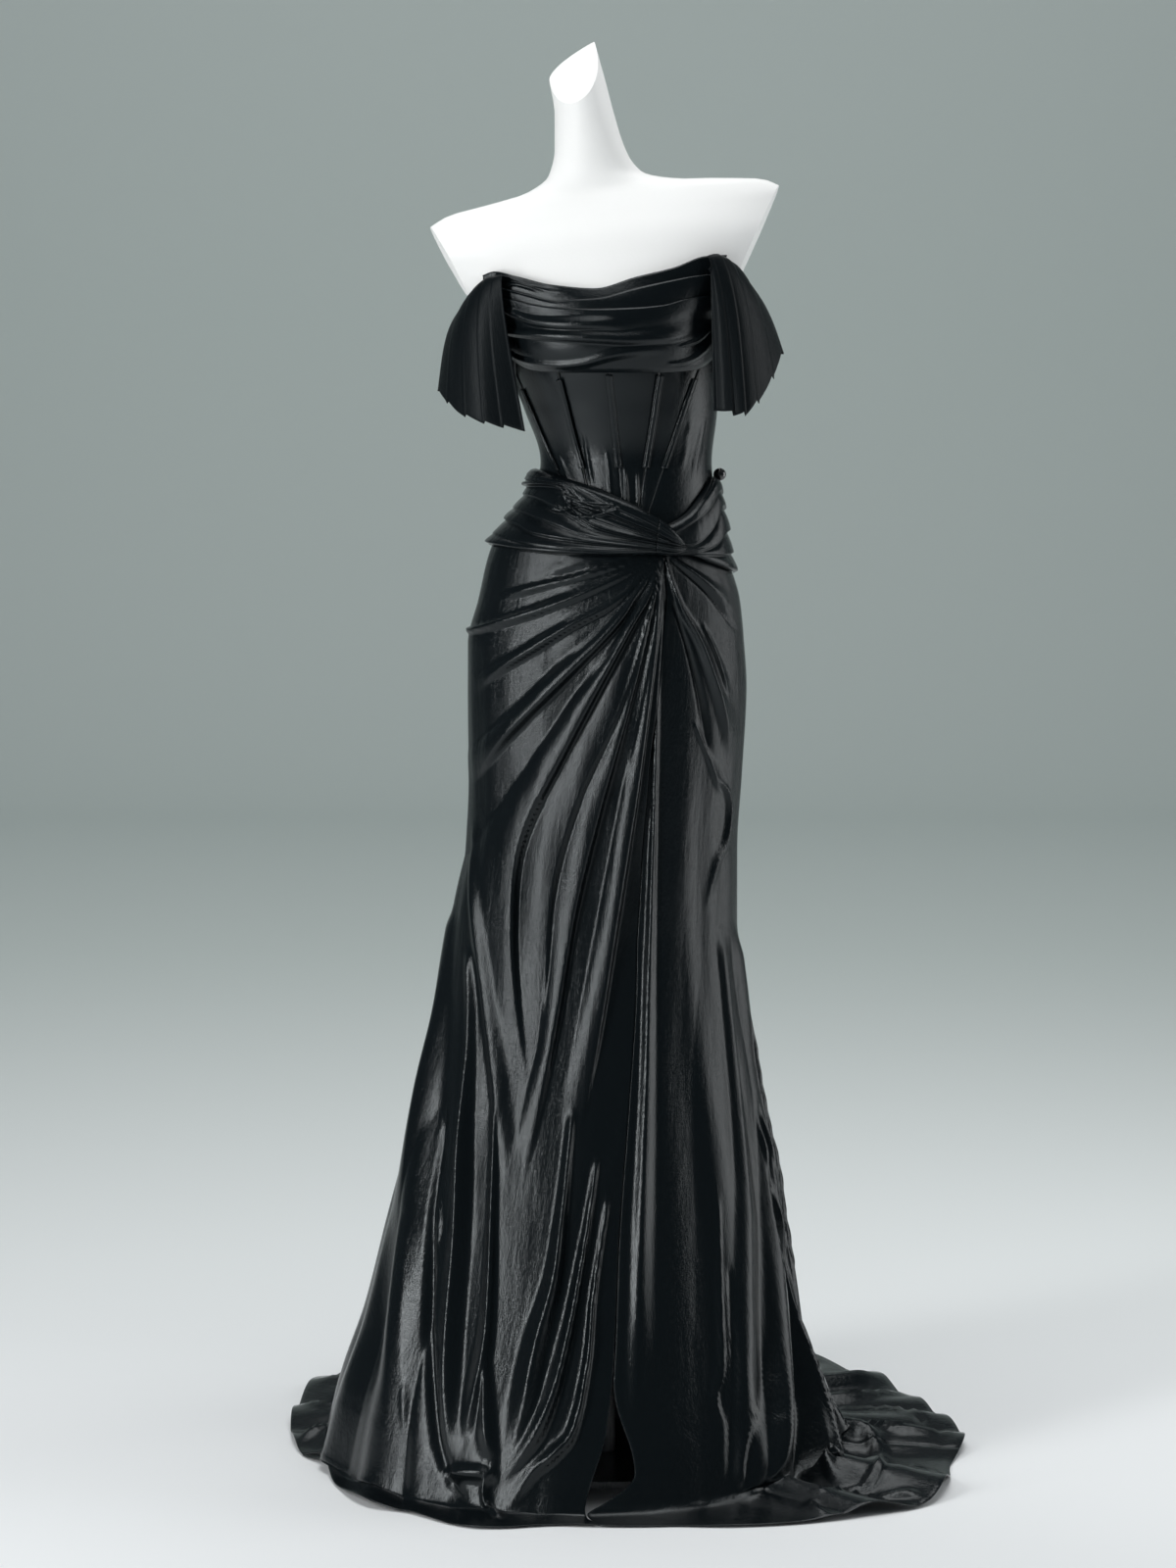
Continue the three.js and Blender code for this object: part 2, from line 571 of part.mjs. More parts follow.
const SKIRT_ROWS = [WAIST_SEAM, 1060, 1020, 960, 880, 790, 680, 570, 460, 350, 240, 150, 75, 20, -55, -125, -200];
const slitAngle = (path) => read(SLIT, "path", "angle", path);
// The slit opens where the skirt turns on to the floor, and its edges meet again on the way to the hem.
const slitGap = (path) => 0.5 + 10 * ease((150 - path) / 130) * ease((path + 75) / 80);

// A skirt panel's columns run along the folds' ridges, with more between them as the gaps need.
const COLUMN_SPAN = 10;
function skirtPanel(name, from, to) {
  const inset = (angle, path) => angleOf(SEAM / 2, angle, Math.max(path, 0));
  const folds = FOLDS.filter((fold) => fold.mid > from(FOLD_MID) + 2 && fold.mid < to(FOLD_MID) - 2);
  const stationsOf = (path) => [
    from(path) + inset(from(path), path),
    ...folds.map((fold) => ridgeAngle(fold, path)),
    to(path) - inset(to(path), path),
  ];
  const stations = SKIRT_ROWS.map(stationsOf);
  const counts = stations[0].slice(1).map((_, i) => {
    const widest = Math.max(...stations.map((row) => row[i + 1] - row[i]));
    const least = i === 0 || i === folds.length ? 2 : 3;
    return Math.max(least, Math.ceil(widest / COLUMN_SPAN));
  });
  const columnsOf = (path) => {
    const row = stationsOf(path);
    return [row[0], ...counts.flatMap((count, i) => spread(row[i], row[i + 1], count).slice(1))];
  };
  add(name, sheet(skirtPoint, SKIRT_ROWS, columnsOf), SATIN);
}

skirtPanel("skirt_front_right", () => -180, slitAngle);
skirtPanel("skirt_front_left", (path) => slitAngle(path) + slitGap(path), () => 0);
skirtPanel("skirt_back_left", () => 0, () => 90);
skirtPanel("skirt_back_right", () => 90, () => 180);

// ---- Dress form and stand

function manifoldOf(geometry) {
  const bare = new THREE.BufferGeometry().setAttribute("position", geometry.getAttribute("position"));
  bare.setIndex(geometry.index);
  const merged = mergeVertices(bare, 1e-3);
  const vertProperties = merged.getAttribute("position").array;
  return new wasm.Manifold(new wasm.Mesh({ numProp: 3, vertProperties, triVerts: merged.index.array }));
}

function geometryOf(solid) {
  const mesh = solid.getMesh();
  const geometry = new THREE.BufferGeometry();
  geometry.setAttribute("position", new THREE.BufferAttribute(mesh.vertProperties, 3));
  geometry.setIndex(new THREE.BufferAttribute(mesh.triVerts, 1));
  return geometry;
}

// A block that removes what lies beyond a plane through a point.
function beyond(point, normal) {
  const size = 400;
  const block = new THREE.BoxGeometry(size, size, size);
  block.deleteAttribute("normal");
  block.deleteAttribute("uv");
  block.translate(0, 0, size / 2);
  block.applyQuaternion(new THREE.Quaternion().setFromUnitVectors(new THREE.Vector3(0, 0, 1), normal));
  block.translate(...point.toArray());
  return manifoldOf(block);
}

const SHOULDER_CUTS = [
  { point: new THREE.Vector3(-199, 0, 1424), normal: new THREE.Vector3(-0.87, -0.08, -0.47).normalize() },
  { point: new THREE.Vector3(197, 0, 1468), normal: new THREE.Vector3(0.91, -0.08, -0.4).normalize() },
];
const NECK_CUT = { point: new THREE.Vector3(-34, -22, 1590), normal: new THREE.Vector3(-0.5, -0.62, 0.6).normalize() };

function formTorso() {
  const angles = spread(-180, 180, 32).slice(0, -1);
  const ring = (table, z, out) => angles.map((angle) => ringPoint(table, angle, z, out));
  const covered = SECTIONS.map((row) => row.z).filter((z) => z > FORM_FOOT);
  const heights = [...covered, 1345, 1320, 1283, 1240, 1188, 1110, 1045, 1020, FORM_FOOT].sort((a, b) => b - a);
  const easeAt = (z) => mix(SKIRT_EASE, EASE, ease((z - 1040) / 60));
  const inside = heights.map((z) => ring(SECTIONS, z, -CLOTH - easeAt(z)));
  const above = SHOULDERS.map((row) => ring(SHOULDERS, row.z, 0)).reverse();
  let torso = manifoldOf(loft([...above, ...inside]));
  for (const cut of [...SHOULDER_CUTS, NECK_CUT]) {
    torso = torso.subtract(beyond(cut.point, cut.normal));
  }
  return geometryOf(torso);
}
add("form_torso", formTorso(), FORM);

function upright(radius, from, to) {
  const rod = new THREE.CylinderGeometry(radius, radius, to - from, 24);
  rod.rotateX(Math.PI / 2);
  rod.translate(0, 0, (from + to) / 2);
  return rod;
}
add("stand_base", upright(BASE_RADIUS, 0, BASE_HEIGHT), STEEL);
add("stand_pole", upright(POLE_RADIUS, BASE_HEIGHT + SEAM, FORM_FOOT - SEAM), STEEL);

export default group;
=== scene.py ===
"""The look of a black satin mermaid gown on a limbless dress form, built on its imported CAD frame.

Left and right are the wearer's. Lengths in the tables are millimetres, and angles are degrees round the gown:
-90 is the front, 0 its left side (+X), 90 the back and 180 its right side. A skirt's path is the height above
the floor, and goes on below 0 along the floor.
"""

import math

import bmesh
import bpy
import numpy as np
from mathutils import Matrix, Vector


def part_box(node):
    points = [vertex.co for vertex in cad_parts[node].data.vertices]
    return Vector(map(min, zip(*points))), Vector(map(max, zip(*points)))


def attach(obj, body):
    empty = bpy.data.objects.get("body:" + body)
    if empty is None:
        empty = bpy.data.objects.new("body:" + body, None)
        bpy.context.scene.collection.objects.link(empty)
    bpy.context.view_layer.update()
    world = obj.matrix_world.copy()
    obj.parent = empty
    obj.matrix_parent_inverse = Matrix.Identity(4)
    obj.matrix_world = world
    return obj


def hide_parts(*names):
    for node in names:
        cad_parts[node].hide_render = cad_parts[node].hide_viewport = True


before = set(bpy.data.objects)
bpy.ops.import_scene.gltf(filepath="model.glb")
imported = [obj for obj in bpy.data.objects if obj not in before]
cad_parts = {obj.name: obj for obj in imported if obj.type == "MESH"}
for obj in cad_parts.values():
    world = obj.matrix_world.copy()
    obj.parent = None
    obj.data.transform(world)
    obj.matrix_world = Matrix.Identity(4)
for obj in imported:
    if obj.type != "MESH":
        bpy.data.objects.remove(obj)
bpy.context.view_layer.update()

MM = 0.001  # metres in a millimetre
CLOTH = 2.0  # wall of the frame's doubled satin
SEAM = 0.3  # gap between neighbouring pieces
SATIN_WALL = 1.2  # wall of the shown skirt
THIN_WALL = 1.0  # wall of the shown bodice, sleeves and wraps
COWL_WALL = 0.9
BONING_WALL = 0.6
SKIRT_EASE = 3.4  # room between the form and the skirt
EASE = 1.8  # room between the form and the bodice
EASE_CHANGE = (1040, 60)  # height where the first turns into the second, and over how much
WAIST_SEAM = 1075  # height of the seam of bodice and skirt, under the wraps
FORM_FOOT = 800
FORM_TOP = 1640  # height above the form's cut neck
FLOOR_TURN = 20  # how softly the skirt turns onto the floor
TURN_TOP = 4 * FLOOR_TURN  # path above which that turn no longer shows
FLOOR_PATH = 200  # length of skirt along the floor
HEM_LIFT = CLOTH + SEAM  # height of the cloth's outer face on the floor
SLIT_TOP = 1060
FOLD_MID = 300  # path at which a large fold's middle angle is given


# ---- Tables and curves

def table(columns, rows):
    """Rows of numbers as one array per named column, sorted by the first, which is the key."""
    names = columns.split()
    ordered = sorted(rows)
    return {name: np.array([row[i] for row in ordered], float) for i, name in enumerate(names)}


def named(columns, rows):
    """Rows as dicts with named columns."""
    return [dict(zip(columns.split(), row)) for row in rows]


def read(rows, column, at):
    """A column's value at a key, on a smooth curve through the rows which never overshoots them."""
    x = next(iter(rows.values()))
    y = rows[column]
    at = np.clip(np.asarray(at, float), x[0], x[-1])
    step = np.diff(x)
    slope = np.diff(y) / step
    product = slope[1:] * slope[:-1]
    total = np.where(product > 0, slope[1:] + slope[:-1], 1)
    inner = np.where(product > 0, 2 * product / total, 0)
    tangent = np.concatenate([slope[:1], inner, slope[-1:]])
    i = np.clip(np.searchsorted(x, at, side="right") - 1, 0, len(step) - 1)
    t = (at - x[i]) / step[i]
    return (
        y[i] * (1 + 2 * t) * (1 - t) ** 2
        + step[i] * tangent[i] * t * (1 - t) ** 2
        + y[i + 1] * t * t * (3 - 2 * t)
        + step[i] * tangent[i + 1] * t * t * (t - 1)
    )


def ease(t):
    """A smooth step from 0 to 1."""
    t = np.clip(t, 0, 1)
    return t * t * (3 - 2 * t)


def mix(a, b, t):
    return a + (b - a) * t


# Sections of the gown before its folds: its reach each way from the origin, and how far it tilts up for each
# millimetre to the left.
SECTIONS = table("z left right front back tilt", [
    (1385, -186, 190, -92, 86, 0.08),
    (1360, -164, 169, -102, 90, 0.07),
    (1335, -135, 141, -113, 93, 0.06),
    (1305, -119, 125, -121, 94, 0.06),
    (1262, -108, 127, -112, 90, 0.04),
    (1218, -92, 129, -97, 85, 0.02),
    (1158, -74, 123, -84, 80, 0),
    (1129, -80, 125, -87, 83, 0),
    (1092, -106, 131, -93, 93, 0),
    (1060, -130, 137, -97, 103, 0),
    (1000, -145, 155, -102, 119, 0),
    (950, -157, 160, -106, 130, 0),
    (900, -157, 163, -107, 136, 0),
    (800, -156, 158, -108, 134, 0),
    (715, -160, 153, -110, 130, 0),
    (630, -172, 153, -114, 132, 0),
    (555, -184, 158, -124, 142, 0),
    (470, -200, 163, -141, 162, 0),
    (376, -220, 174, -165, 192, 0),
    (270, -247, 190, -196, 232, 0),
    (167, -272, 208, -232, 276, 0),
    (83, -300, 236, -262, 314, 0),
    (0, -318, 262, -284, 346, 0),
])

# The form above the bodice: shoulders cut off at the arms, and a neck that leans to -X.
SHOULDERS = table("z left right front back tilt", [
    (1412, -205, 207, -77, 78, 0.098),
    (1436, -206, 208, -61, 66, 0.11),
    (1456, -180, 182, -48, 56, 0.116),
    (1463, -137, 137, -44, 54, 0.116),
    (1470, -90, 82, -42, 54, 0.1),
    (1484, -64, 42, -42, 50, 0.05),
    (1510, -57, 24, -46, 38, 0),
    (1549, -57, 11, -52, 26, 0),
    (1590, -63, 0, -58, 14, 0),
    (1640, -68, -14, -64, 2, 0),
])

# The hem's reach from the origin in each direction.
HEM = table("angle reach", [
    (-180, 352), (-170, 326), (-153, 337), (-139, 349), (-130, 336), (-115, 350), (-98, 313), (-78, 320),
    (-66, 345), (-45, 392), (-30, 424), (-18, 412), (-8, 402), (7, 428), (23, 438), (36, 460), (48, 505),
    (60, 545), (90, 596), (112, 576), (132, 515), (150, 432), (168, 378), (180, 352),
])

# The skirt's largest folds: the path where each starts, its angle there, at FOLD_MID and at the floor,
# its rise at those two, and half its width in degrees.
FOLDS = named("start top mid foot rise foot_rise spread", [
    (640, -168, -164, -168, 12, 16, 8),
    (450, -160, -143, -142, 14, 14, 9),
    (620, -152, -130, -126, 12, 14, 6),
    (620, -144, -116, -114, 11, 12, 6),
    (900, -76, -94, -104, 11, 12, 5),
    (420, -82, -86, -96, 10, 10, 5),
    (980, -52, -64, -68, 12, 10, 7),
    (600, -40, -38, -52, 12, 16, 9),
    (640, -12, -18, -42, 13, 26, 6),
    (420, -2, -4, -24, 15, 34, 7),
    (560, 12, 8, 5, 14, 26, 7),
    (600, 26, 22, 18, 15, 22, 7),
    (560, 40, 37, 30, 15, 24, 6),
    (620, 54, 50, 45, 16, 26, 7),
    (540, 68, 66, 62, 15, 24, 7),
    (600, 84, 83, 80, 16, 26, 8),
    (600, 99, 100, 101, 16, 24, 8),
    (560, 114, 117, 120, 15, 26, 8),
    (620, 130, 134, 139, 15, 24, 7),
    (560, 146, 150, 156, 14, 26, 7),
    (600, 162, 167, 171, 13, 16, 6),
])

# The slit between the two front skirt panels.
SLIT = table("path angle", [
    (-200, -91), (0, -89), (90, -83), (170, -80), (300, -78.5), (540, -74), (800, -73), (910, -69),
    (SLIT_TOP, -62),
])

# Seams of the bodice, under the bust and at the waist.
BODICE_SEAMS = [
    ("side_right", -180, -180),
    ("outer_right", -160, -128),
    ("inner_right", -123, -113),
    ("centre_front", -93, -92),
    ("inner_left", -63, -79),
    ("outer_left", -37, -70),
    ("side_left", 0, 0),
    ("back_left", 44, 56),
    ("centre_back", 90, 90),
    ("back_right", 136, 124),
    ("side_right", 180, 180),
]
BONED = ["outer_right", "inner_right", "centre_front", "inner_left", "outer_left", "back_left", "back_right"]
BODICE_PANELS = [
    "side_right", "side_front_right", "centre_front_right", "centre_front_left", "side_front_left",
    "side_left", "side_back_left", "centre_back_left", "centre_back_right", "side_back_right",
]
BUST_LEVEL = 1250  # height at which the first angle of a seam is given
WAIST_LEVEL = 1120  # height at which the second is
BODICE_LEVEL = 1315  # height of the bodice's top, for its seams
BODICE_TOP = table("angle z", [
    (-180, 1296), (-150, 1318), (-90, 1330), (-30, 1318), (0, 1296), (90, 1286), (180, 1296),
])

# Edges of the cowl's three layers, lowest layer first.
COWL = table("angle hem band middle top", [
    (-172, 1280, 1342, 1356, 1364),
    (-158, 1275, 1342, 1356, 1366),
    (-140, 1261, 1341, 1354, 1366),
    (-132, 1259, 1338, 1351, 1370),
    (-124, 1258, 1332, 1345, 1364),
    (-112, 1257, 1328, 1336, 1354),
    (-95, 1257, 1326, 1338, 1349),
    (-79, 1257, 1327, 1349, 1362),
    (-65, 1257, 1330, 1358, 1373),
    (-54, 1258, 1337, 1364, 1386),
    (-40, 1261, 1342, 1367, 1388),
    (-22, 1272, 1344, 1368, 1388),
    (-8, 1280, 1344, 1368, 1388),
])

# Edges of the waist wraps and of the knot they end in, and how far each stands out.
WRAP_RIGHT = table("angle top low top_out low_out", [
    (-190, 1148, 1064, 1.7, 2),
    (-180, 1150, 1062, 8, 4),
    (-160, 1149, 1062, 9, 6),
    (-115, 1133, 1054, 9, 8),
    (-85, 1113, 1053, 9, 9),
    (-68, 1096, 1054, 10, 9),
])
WRAP_LEFT = table("angle top low top_out low_out", [
    (-63, 1086, 1053, 3.5, 3.5),
    (-51.3, 1098, 1053, 4.5, 4.5),
    (-35, 1122, 1044, 6, 4),
    (-15, 1141, 1034, 5, 2.5),
    (3, 1131, 1030, 3, 1),
])
KNOT = table("angle top low top_out low_out", [
    (-67.7, 1096, 1054, 11, 10),
    (-60, 1084, 1053, 14, 12),
    (-55, 1074, 1055, 13.5, 12.5),
    (-51.7, 1065, 1058, 12, 12),
])

# Sleeves: points along the gathered head and the open end, from the front round to the back.
SLEEVE_RIGHT = table("u head_x head_y head_z end_x end_y end_z", [
    (0, -116, -98, 1366, -90, -92, 1192),
    (0.22, -130, -84, 1366, -130, -96, 1199),
    (0.42, -150, -56, 1350, -166, -72, 1212),
    (0.58, -160, -6, 1332, -191, -14, 1238),
    (0.76, -150, 48, 1332, -182, 50, 1232),
    (1, -126, 92, 1290, -122, 104, 1206),
])
SLEEVE_LEFT = table("u head_x head_y head_z end_x end_y end_z", [
    (0, 116, -99, 1372, 122, -86, 1215),
    (0.1, 114, -100, 1386, 136, -92, 1211),
    (0.24, 126, -94, 1391, 154, -92, 1208),
    (0.42, 146, -66, 1382, 184, -68, 1238),
    (0.58, 160, -6, 1356, 204, -12, 1280),
    (0.76, 153, 48, 1348, 190, 50, 1258),
    (1, 132, 92, 1296, 136, 104, 1216),
])


def creases(rows):
    """Ridges, or valleys where the rise is negative, as dicts.

    A path is points (x, height) seen from the front. Widths are half-widths at its start and end. Lean widens
    one side and narrows the other, and crest makes the top rounder.
    """
    return named("rise start_width end_width lean crest path", rows)


# Overlapping folds that fan out from under the knot over the skirt's right front, from the waist down: each
# crest's rise and path.
FAN_CENTRE = (68, 1055)
FAN_START = 110  # distance over which a fold rises to its full height
FAN_FADE = 0.3  # share of its length over which it fades out
FAN_DROP = 5  # width of the sharp fall behind a crest
FAN_APART = 0.4  # least angle between two crests
FAN_FOLDS = [
    (0, [(40, 1057), (-43, 1060), (-121, 1066), (-160, 1068)]),
    (3, [(40, 1055), (19, 1054), (-20, 1050), (-60, 1047)]),
    (4, [(42, 1053), (19, 1051), (-31, 1042), (-72, 1031)]),
    (4, [(44, 1051), (20, 1046), (0, 1041), (-40, 1030)]),
    (6, [(46, 1050), (20, 1043), (-18, 1032), (-82, 1015), (-128, 998)]),
    (4, [(47, 1048), (20, 1038), (-20, 1021), (-70, 1001)]),
    (8, [(48, 1046), (19, 1030), (-43, 1001), (-108, 978), (-152, 966), (-200, 955)]),
    (5, [(50, 1044), (19, 1021), (-20, 995), (-76, 962)]),
    (9, [(52, 1042), (7, 998), (-43, 970), (-122, 920), (-146, 898)]),
    (5, [(53, 1041), (20, 1004), (-14, 966), (-60, 926)]),
    (12, [(54, 1039), (33, 1008), (4, 966), (-94, 864), (-152, 794)]),
    (5, [(56, 1039), (38, 1006), (10, 958), (-36, 896)]),
    (13, [(57, 1038), (45, 1004), (22, 962), (-43, 836), (-91, 730), (-101, 632), (-98, 540), (-90, 470)]),
    (8, [(58, 1037), (47, 990), (14, 880), (-30, 780), (-58, 680), (-67, 580), (-76, 500)]),
    (10, [(59, 1036), (50, 990), (24, 880), (-8, 760), (-34, 650), (-52, 540), (-72, 440), (-92, 360)]),
    (6, [(60, 1035), (53, 980), (36, 880), (18, 790)]),
    (10, [(61, 1034), (55, 960), (36, 800), (12, 640), (-10, 500), (-32, 400)]),
    (5, [(64, 1032), (62, 960), (50, 800), (40, 690)]),
]

# Folds that fan out over the skirt's left front.
FAN_LEFT = creases([
    (9, 3, 15, 0.4, 1.2, [(66, 1050), (84, 995), (108, 948), (134, 868), (142, 810)]),
    (-5, 2, 5, 0, 1, [(70, 1050), (116, 1010), (157, 957)]),
    (5, 3, 12, 0.2, 1.3, [(74, 1050), (112, 1022), (152, 984)]),
    (5, 4, 9, 0.2, 1.2, [(110, 975), (128, 930), (144, 870)]),
    (-5, 3, 10, 0, 1.2, [(76, 1000), (96, 940), (110, 880), (120, 800)]),
    (4, 4, 8, 0.4, 1.2, [(100, 864), (118, 820), (132, 775)]),
    (6, 4, 7, 0, 1.1, [(120, 806), (140, 780), (138, 730), (126, 700), (112, 640)]),
])

# Long ridges of the hanging skirt, from the thigh to the hem. On the right they meet there in a pinch.
HANG_RIGHT = creases([
    (5, 8, 14, 0.3, 1.8, [(-150, 740), (-144, 660), (-134, 560), (-120, 430), (-106, 340)]),
    (12, 8, 34, 0.2, 1.6, [
        (-173, 640), (-184, 541), (-200, 440), (-214, 330), (-222, 250), (-228, 165), (-236, 100), (-254, 20),
    ]),
    (5, 5, 9, 0, 1.4, [(-206, 340), (-212, 240), (-216, 153), (-219, 97), (-222, 50)]),
    (-7, 6, 12, 0, 1.3, [
        (-180, 420), (-186, 330), (-190, 250), (-192, 173), (-186, 83), (-177, 43), (-160, 12), (-138, -10),
    ]),
    (13, 8, 20, 0, 1.4, [
        (-150, 600), (-150, 500), (-156, 380), (-161, 293), (-170, 197), (-174, 130), (-173, 80), (-171, 34),
    ]),
    (10, 6, 15, -0.3, 1.4, [(-122, 440), (-124, 320), (-126, 240), (-131, 175), (-146, 110), (-160, 71)]),
    (9, 5, 16, 0, 1.4, [(-130, 190), (-131, 140), (-130, 90), (-122, 38)]),
    (10, 12, 15, 0, 1.2, [(-180, 34), (-158, 40), (-136, 42), (-112, 40)]),
    (9, 5, 9, 0, 1.2, [(-122, 52), (-132, 22), (-122, -40), (-112, -120)]),
    (12, 8, 22, -0.2, 1.5, [(-36, 430), (-46, 330), (-56, 250), (-75, 180), (-90, 110), (-116, 30)]),
    (11, 6, 17, -0.3, 1.4, [(-8, 380), (-24, 280), (-40, 195), (-59, 124), (-84, 74), (-118, 30)]),
    (9, 5, 13, -0.2, 1.4, [(4, 340), (-12, 240), (-20, 160), (-35, 94), (-57, 66), (-84, 40), (-122, -30)]),
])
HANG_LEFT = creases([
    (8, 4, 18, 0.3, 1.6, [(60, 960), (54, 780), (48, 600), (44, 450), (38, 300), (34, 160), (30, 20)]),
    (10, 10, 34, 0.3, 1.9, [
        (132, 620), (144, 480), (150, 360), (152, 260), (150, 170), (146, 90), (144, 10),
    ]),
    (5, 4, 9, -0.2, 1.2, [(122, 330), (124, 205), (126, 143), (121, 114), (128, 82), (130, 20)]),
    (-5, 4, 8, 0, 1.2, [(132, 250), (136, 141), (137, 81), (137, 10)]),
    (15, 8, 32, -0.45, 1.4, [
        (150, 620), (162, 480), (172, 380), (180, 280), (184, 180),
        (184, 90), (178, 31), (164, 2), (150, -60),
    ]),
    (7, 5, 10, 0, 1.3, [(172, 110), (154, 86), (147, 59), (146, 20), (158, -10)]),
])

# Creases of the sides and the train, whose points are (angle, path along the skirt).
DEGREE = 5  # millimetres that a degree counts as
TRAIN_ROWS = [
    (-16, 14, 26, 0, 1.6, [
        (-14, 420), (-17, 300), (-20, 180), (-22, 100), (-27, 40), (-34, -10), (-44, -90),
    ]),
    (12, 10, 20, 0.2, 1.3, [
        (-10, 520), (-6, 300), (-3, 160), (0, 60), (3, -20), (2, -60), (-17, -110), (-29, -160),
    ]),
    (9, 9, 11, 0.2, 1.2, [
        (-14, 420), (-9, 260), (-8, 120), (-6, 40), (-4, -10), (-14, -55), (-25, -100), (-32, -150),
    ]),
    (10, 10, 14, 0.2, 1.3, [(-18, 400), (-15, 240), (-16, 130), (-19, 50), (-24, 5), (-30, -50), (-34, -90)]),
    (9, 6, 12, 0, 1.2, [(-34, -70), (-31, -100), (-24, -100), (-16, -70)]),
    (7, 5, 10, 0, 1.2, [(-44, -100), (-37, -120), (-33, -140), (-31, -170), (-34, -210)]),
    (7, 5, 9, 0, 1.2, [(-46, -110), (-49, -150), (-50, -200)]),
    (9, 6, 12, -0.2, 1.2, [(-14, -105), (-19, -150), (-15, -205)]),
    (10, 8, 16, 0.3, 1.2, [(8, -20), (8, -60), (5, -110), (6, -205)]),
    (7, 5, 9, 0, 1.2, [(16, -10), (13, -60), (11, -110), (10, -170)]),
    (12, 8, 18, -0.3, 1.2, [(22, -10), (24, -70), (23, -120), (17, -205)]),
    (11, 8, 18, 0.3, 1.2, [(30, -20), (30, -90), (33, -160), (34, -210)]),
    (7, 5, 9, 0, 1.2, [(37, -30), (38, -90), (37, -160), (40, -205)]),
    (13, 8, 20, 0.2, 1.2, [(45, -20), (43, -90), (43, -150), (45, -210)]),
    (-6, 5, 8, 0, 1.2, [(24, -140), (15, -158), (5, -168), (-2, -180)]),
    (11, 8, 18, -0.2, 1.2, [(54, -10), (53, -90), (56, -210)]),
    (10, 8, 20, 0.2, 1.2, [(66, 0), (69, -100), (67, -210)]),
    (12, 8, 22, 0.2, 1.2, [(80, 10), (77, -100), (80, -210)]),
    (10, 8, 20, -0.2, 1.2, [(93, 0), (96, -90), (93, -210)]),
    (12, 8, 22, 0.2, 1.2, [(108, 10), (106, -100), (109, -210)]),
    (10, 8, 18, -0.2, 1.2, [(122, 0), (125, -100), (122, -210)]),
    (9, 8, 16, 0.2, 1.2, [(138, 10), (136, -100), (140, -210)]),
    (8, 6, 14, 0, 1.2, [(152, 0), (155, -90), (152, -210)]),
    (9, 6, 14, 0.2, 1.2, [(166, 40), (169, -60), (174, -210)]),
]
TRAIN = creases([(*row[:5], [(angle * DEGREE, path) for angle, path in row[5]]) for row in TRAIN_ROWS])


# ---- Surfaces

def ring_point(rows, angle, z, out=0):
    """Points on a table's sections, moved out from them."""
    left, right, front, back, tilt = (read(rows, name, z) for name in "left right front back tilt".split())
    c = np.cos(np.radians(angle))
    s = np.sin(np.radians(angle))
    half = (right - left) / 2
    depth = np.where(s < 0, -front, back)
    length = np.hypot(c / half, s / depth)
    x = (left + right) / 2 + half * c + out * c / half / length
    y = depth * s + out * s / depth / length
    return np.stack(np.broadcast_arrays(x, y, z + tilt * x), axis=-1)


def gown_point(angle, z, out=0):
    """Points on the gown before its folds, moved out from it."""
    return ring_point(SECTIONS, angle, z, out)


def skirt_base(angle, path):
    """The skirt before its folds."""
    point = gown_point(angle, np.maximum(path, 0))
    share = np.clip(-path / FLOOR_PATH, 0, 1)
    reach = read(HEM, "reach", angle)
    point[..., 0] = mix(point[..., 0], reach * np.cos(np.radians(angle)), share)
    point[..., 1] = mix(point[..., 1], reach * np.sin(np.radians(angle)), share)
    bend = (path + np.hypot(path, FLOOR_TURN)) / 2
    near_floor = HEM_LIFT + bend * np.where(path > 0, 1 - HEM_LIFT / TURN_TOP, 1)
    point[..., 2] = np.where(path > TURN_TOP, point[..., 2], near_floor)
    return point


FOLD_WIDENING = 1.5  # how much wider a large fold is above FOLD_MID
FOLD_EDGE = 1.6  # how far its soft edge reaches, in half-widths
FOLD_SINKING = 0.55  # share of its rise left at the hem


def fold_rise(angle, path):
    """How far the largest folds stand out. They are wider above FOLD_MID, and sink along the floor."""
    rise = np.zeros(np.broadcast(angle, path).shape)
    low = np.clip((FOLD_MID - path) / FOLD_MID, 0, 1)
    for fold in FOLDS:
        high = np.clip((path - FOLD_MID) / (fold["start"] - FOLD_MID), 0, 1)
        above = path > FOLD_MID
        centre = np.where(above, mix(fold["mid"], fold["top"], high), mix(fold["mid"], fold["foot"], low))
        height = np.where(above, fold["rise"] * ease(1 - high), mix(fold["rise"], fold["foot_rise"], low))
        away = np.abs((angle - centre + 540) % 360 - 180) / (fold["spread"] * mix(FOLD_WIDENING, 1, low))
        rise = np.maximum(rise, height * ease(1 - away / FOLD_EDGE) ** 1.2)
    return rise * np.where(path < 0, mix(1, FOLD_SINKING, np.clip(-path / FLOOR_PATH, 0, 1)), 1)


def normals(grid):
    """Outward unit normals of a grid whose rows go down and whose columns go round by angle."""
    across = np.gradient(grid, axis=1)
    down = np.gradient(grid, axis=0)
    normal = np.cross(down, across)
    return normal / np.maximum(np.linalg.norm(normal, axis=-1, keepdims=True), 1e-9)


def smooth_path(points, count=48):
    """A Catmull-Rom curve through points."""
    p = np.array(points, float)
    p = np.vstack([2 * p[0] - p[1], p, 2 * p[-1] - p[-2]])
    t = np.linspace(0, len(p) - 3 - 1e-6, count)
    i = t.astype(int)
    f = (t - i)[:, None]
    a, b, c, d = p[i], p[i + 1], p[i + 2], p[i + 3]
    return 0.5 * (2 * b + (c - a) * f + (2 * a - 5 * b + 4 * c - d) * f**2 + (3 * b - a - 3 * c + d) * f**3)


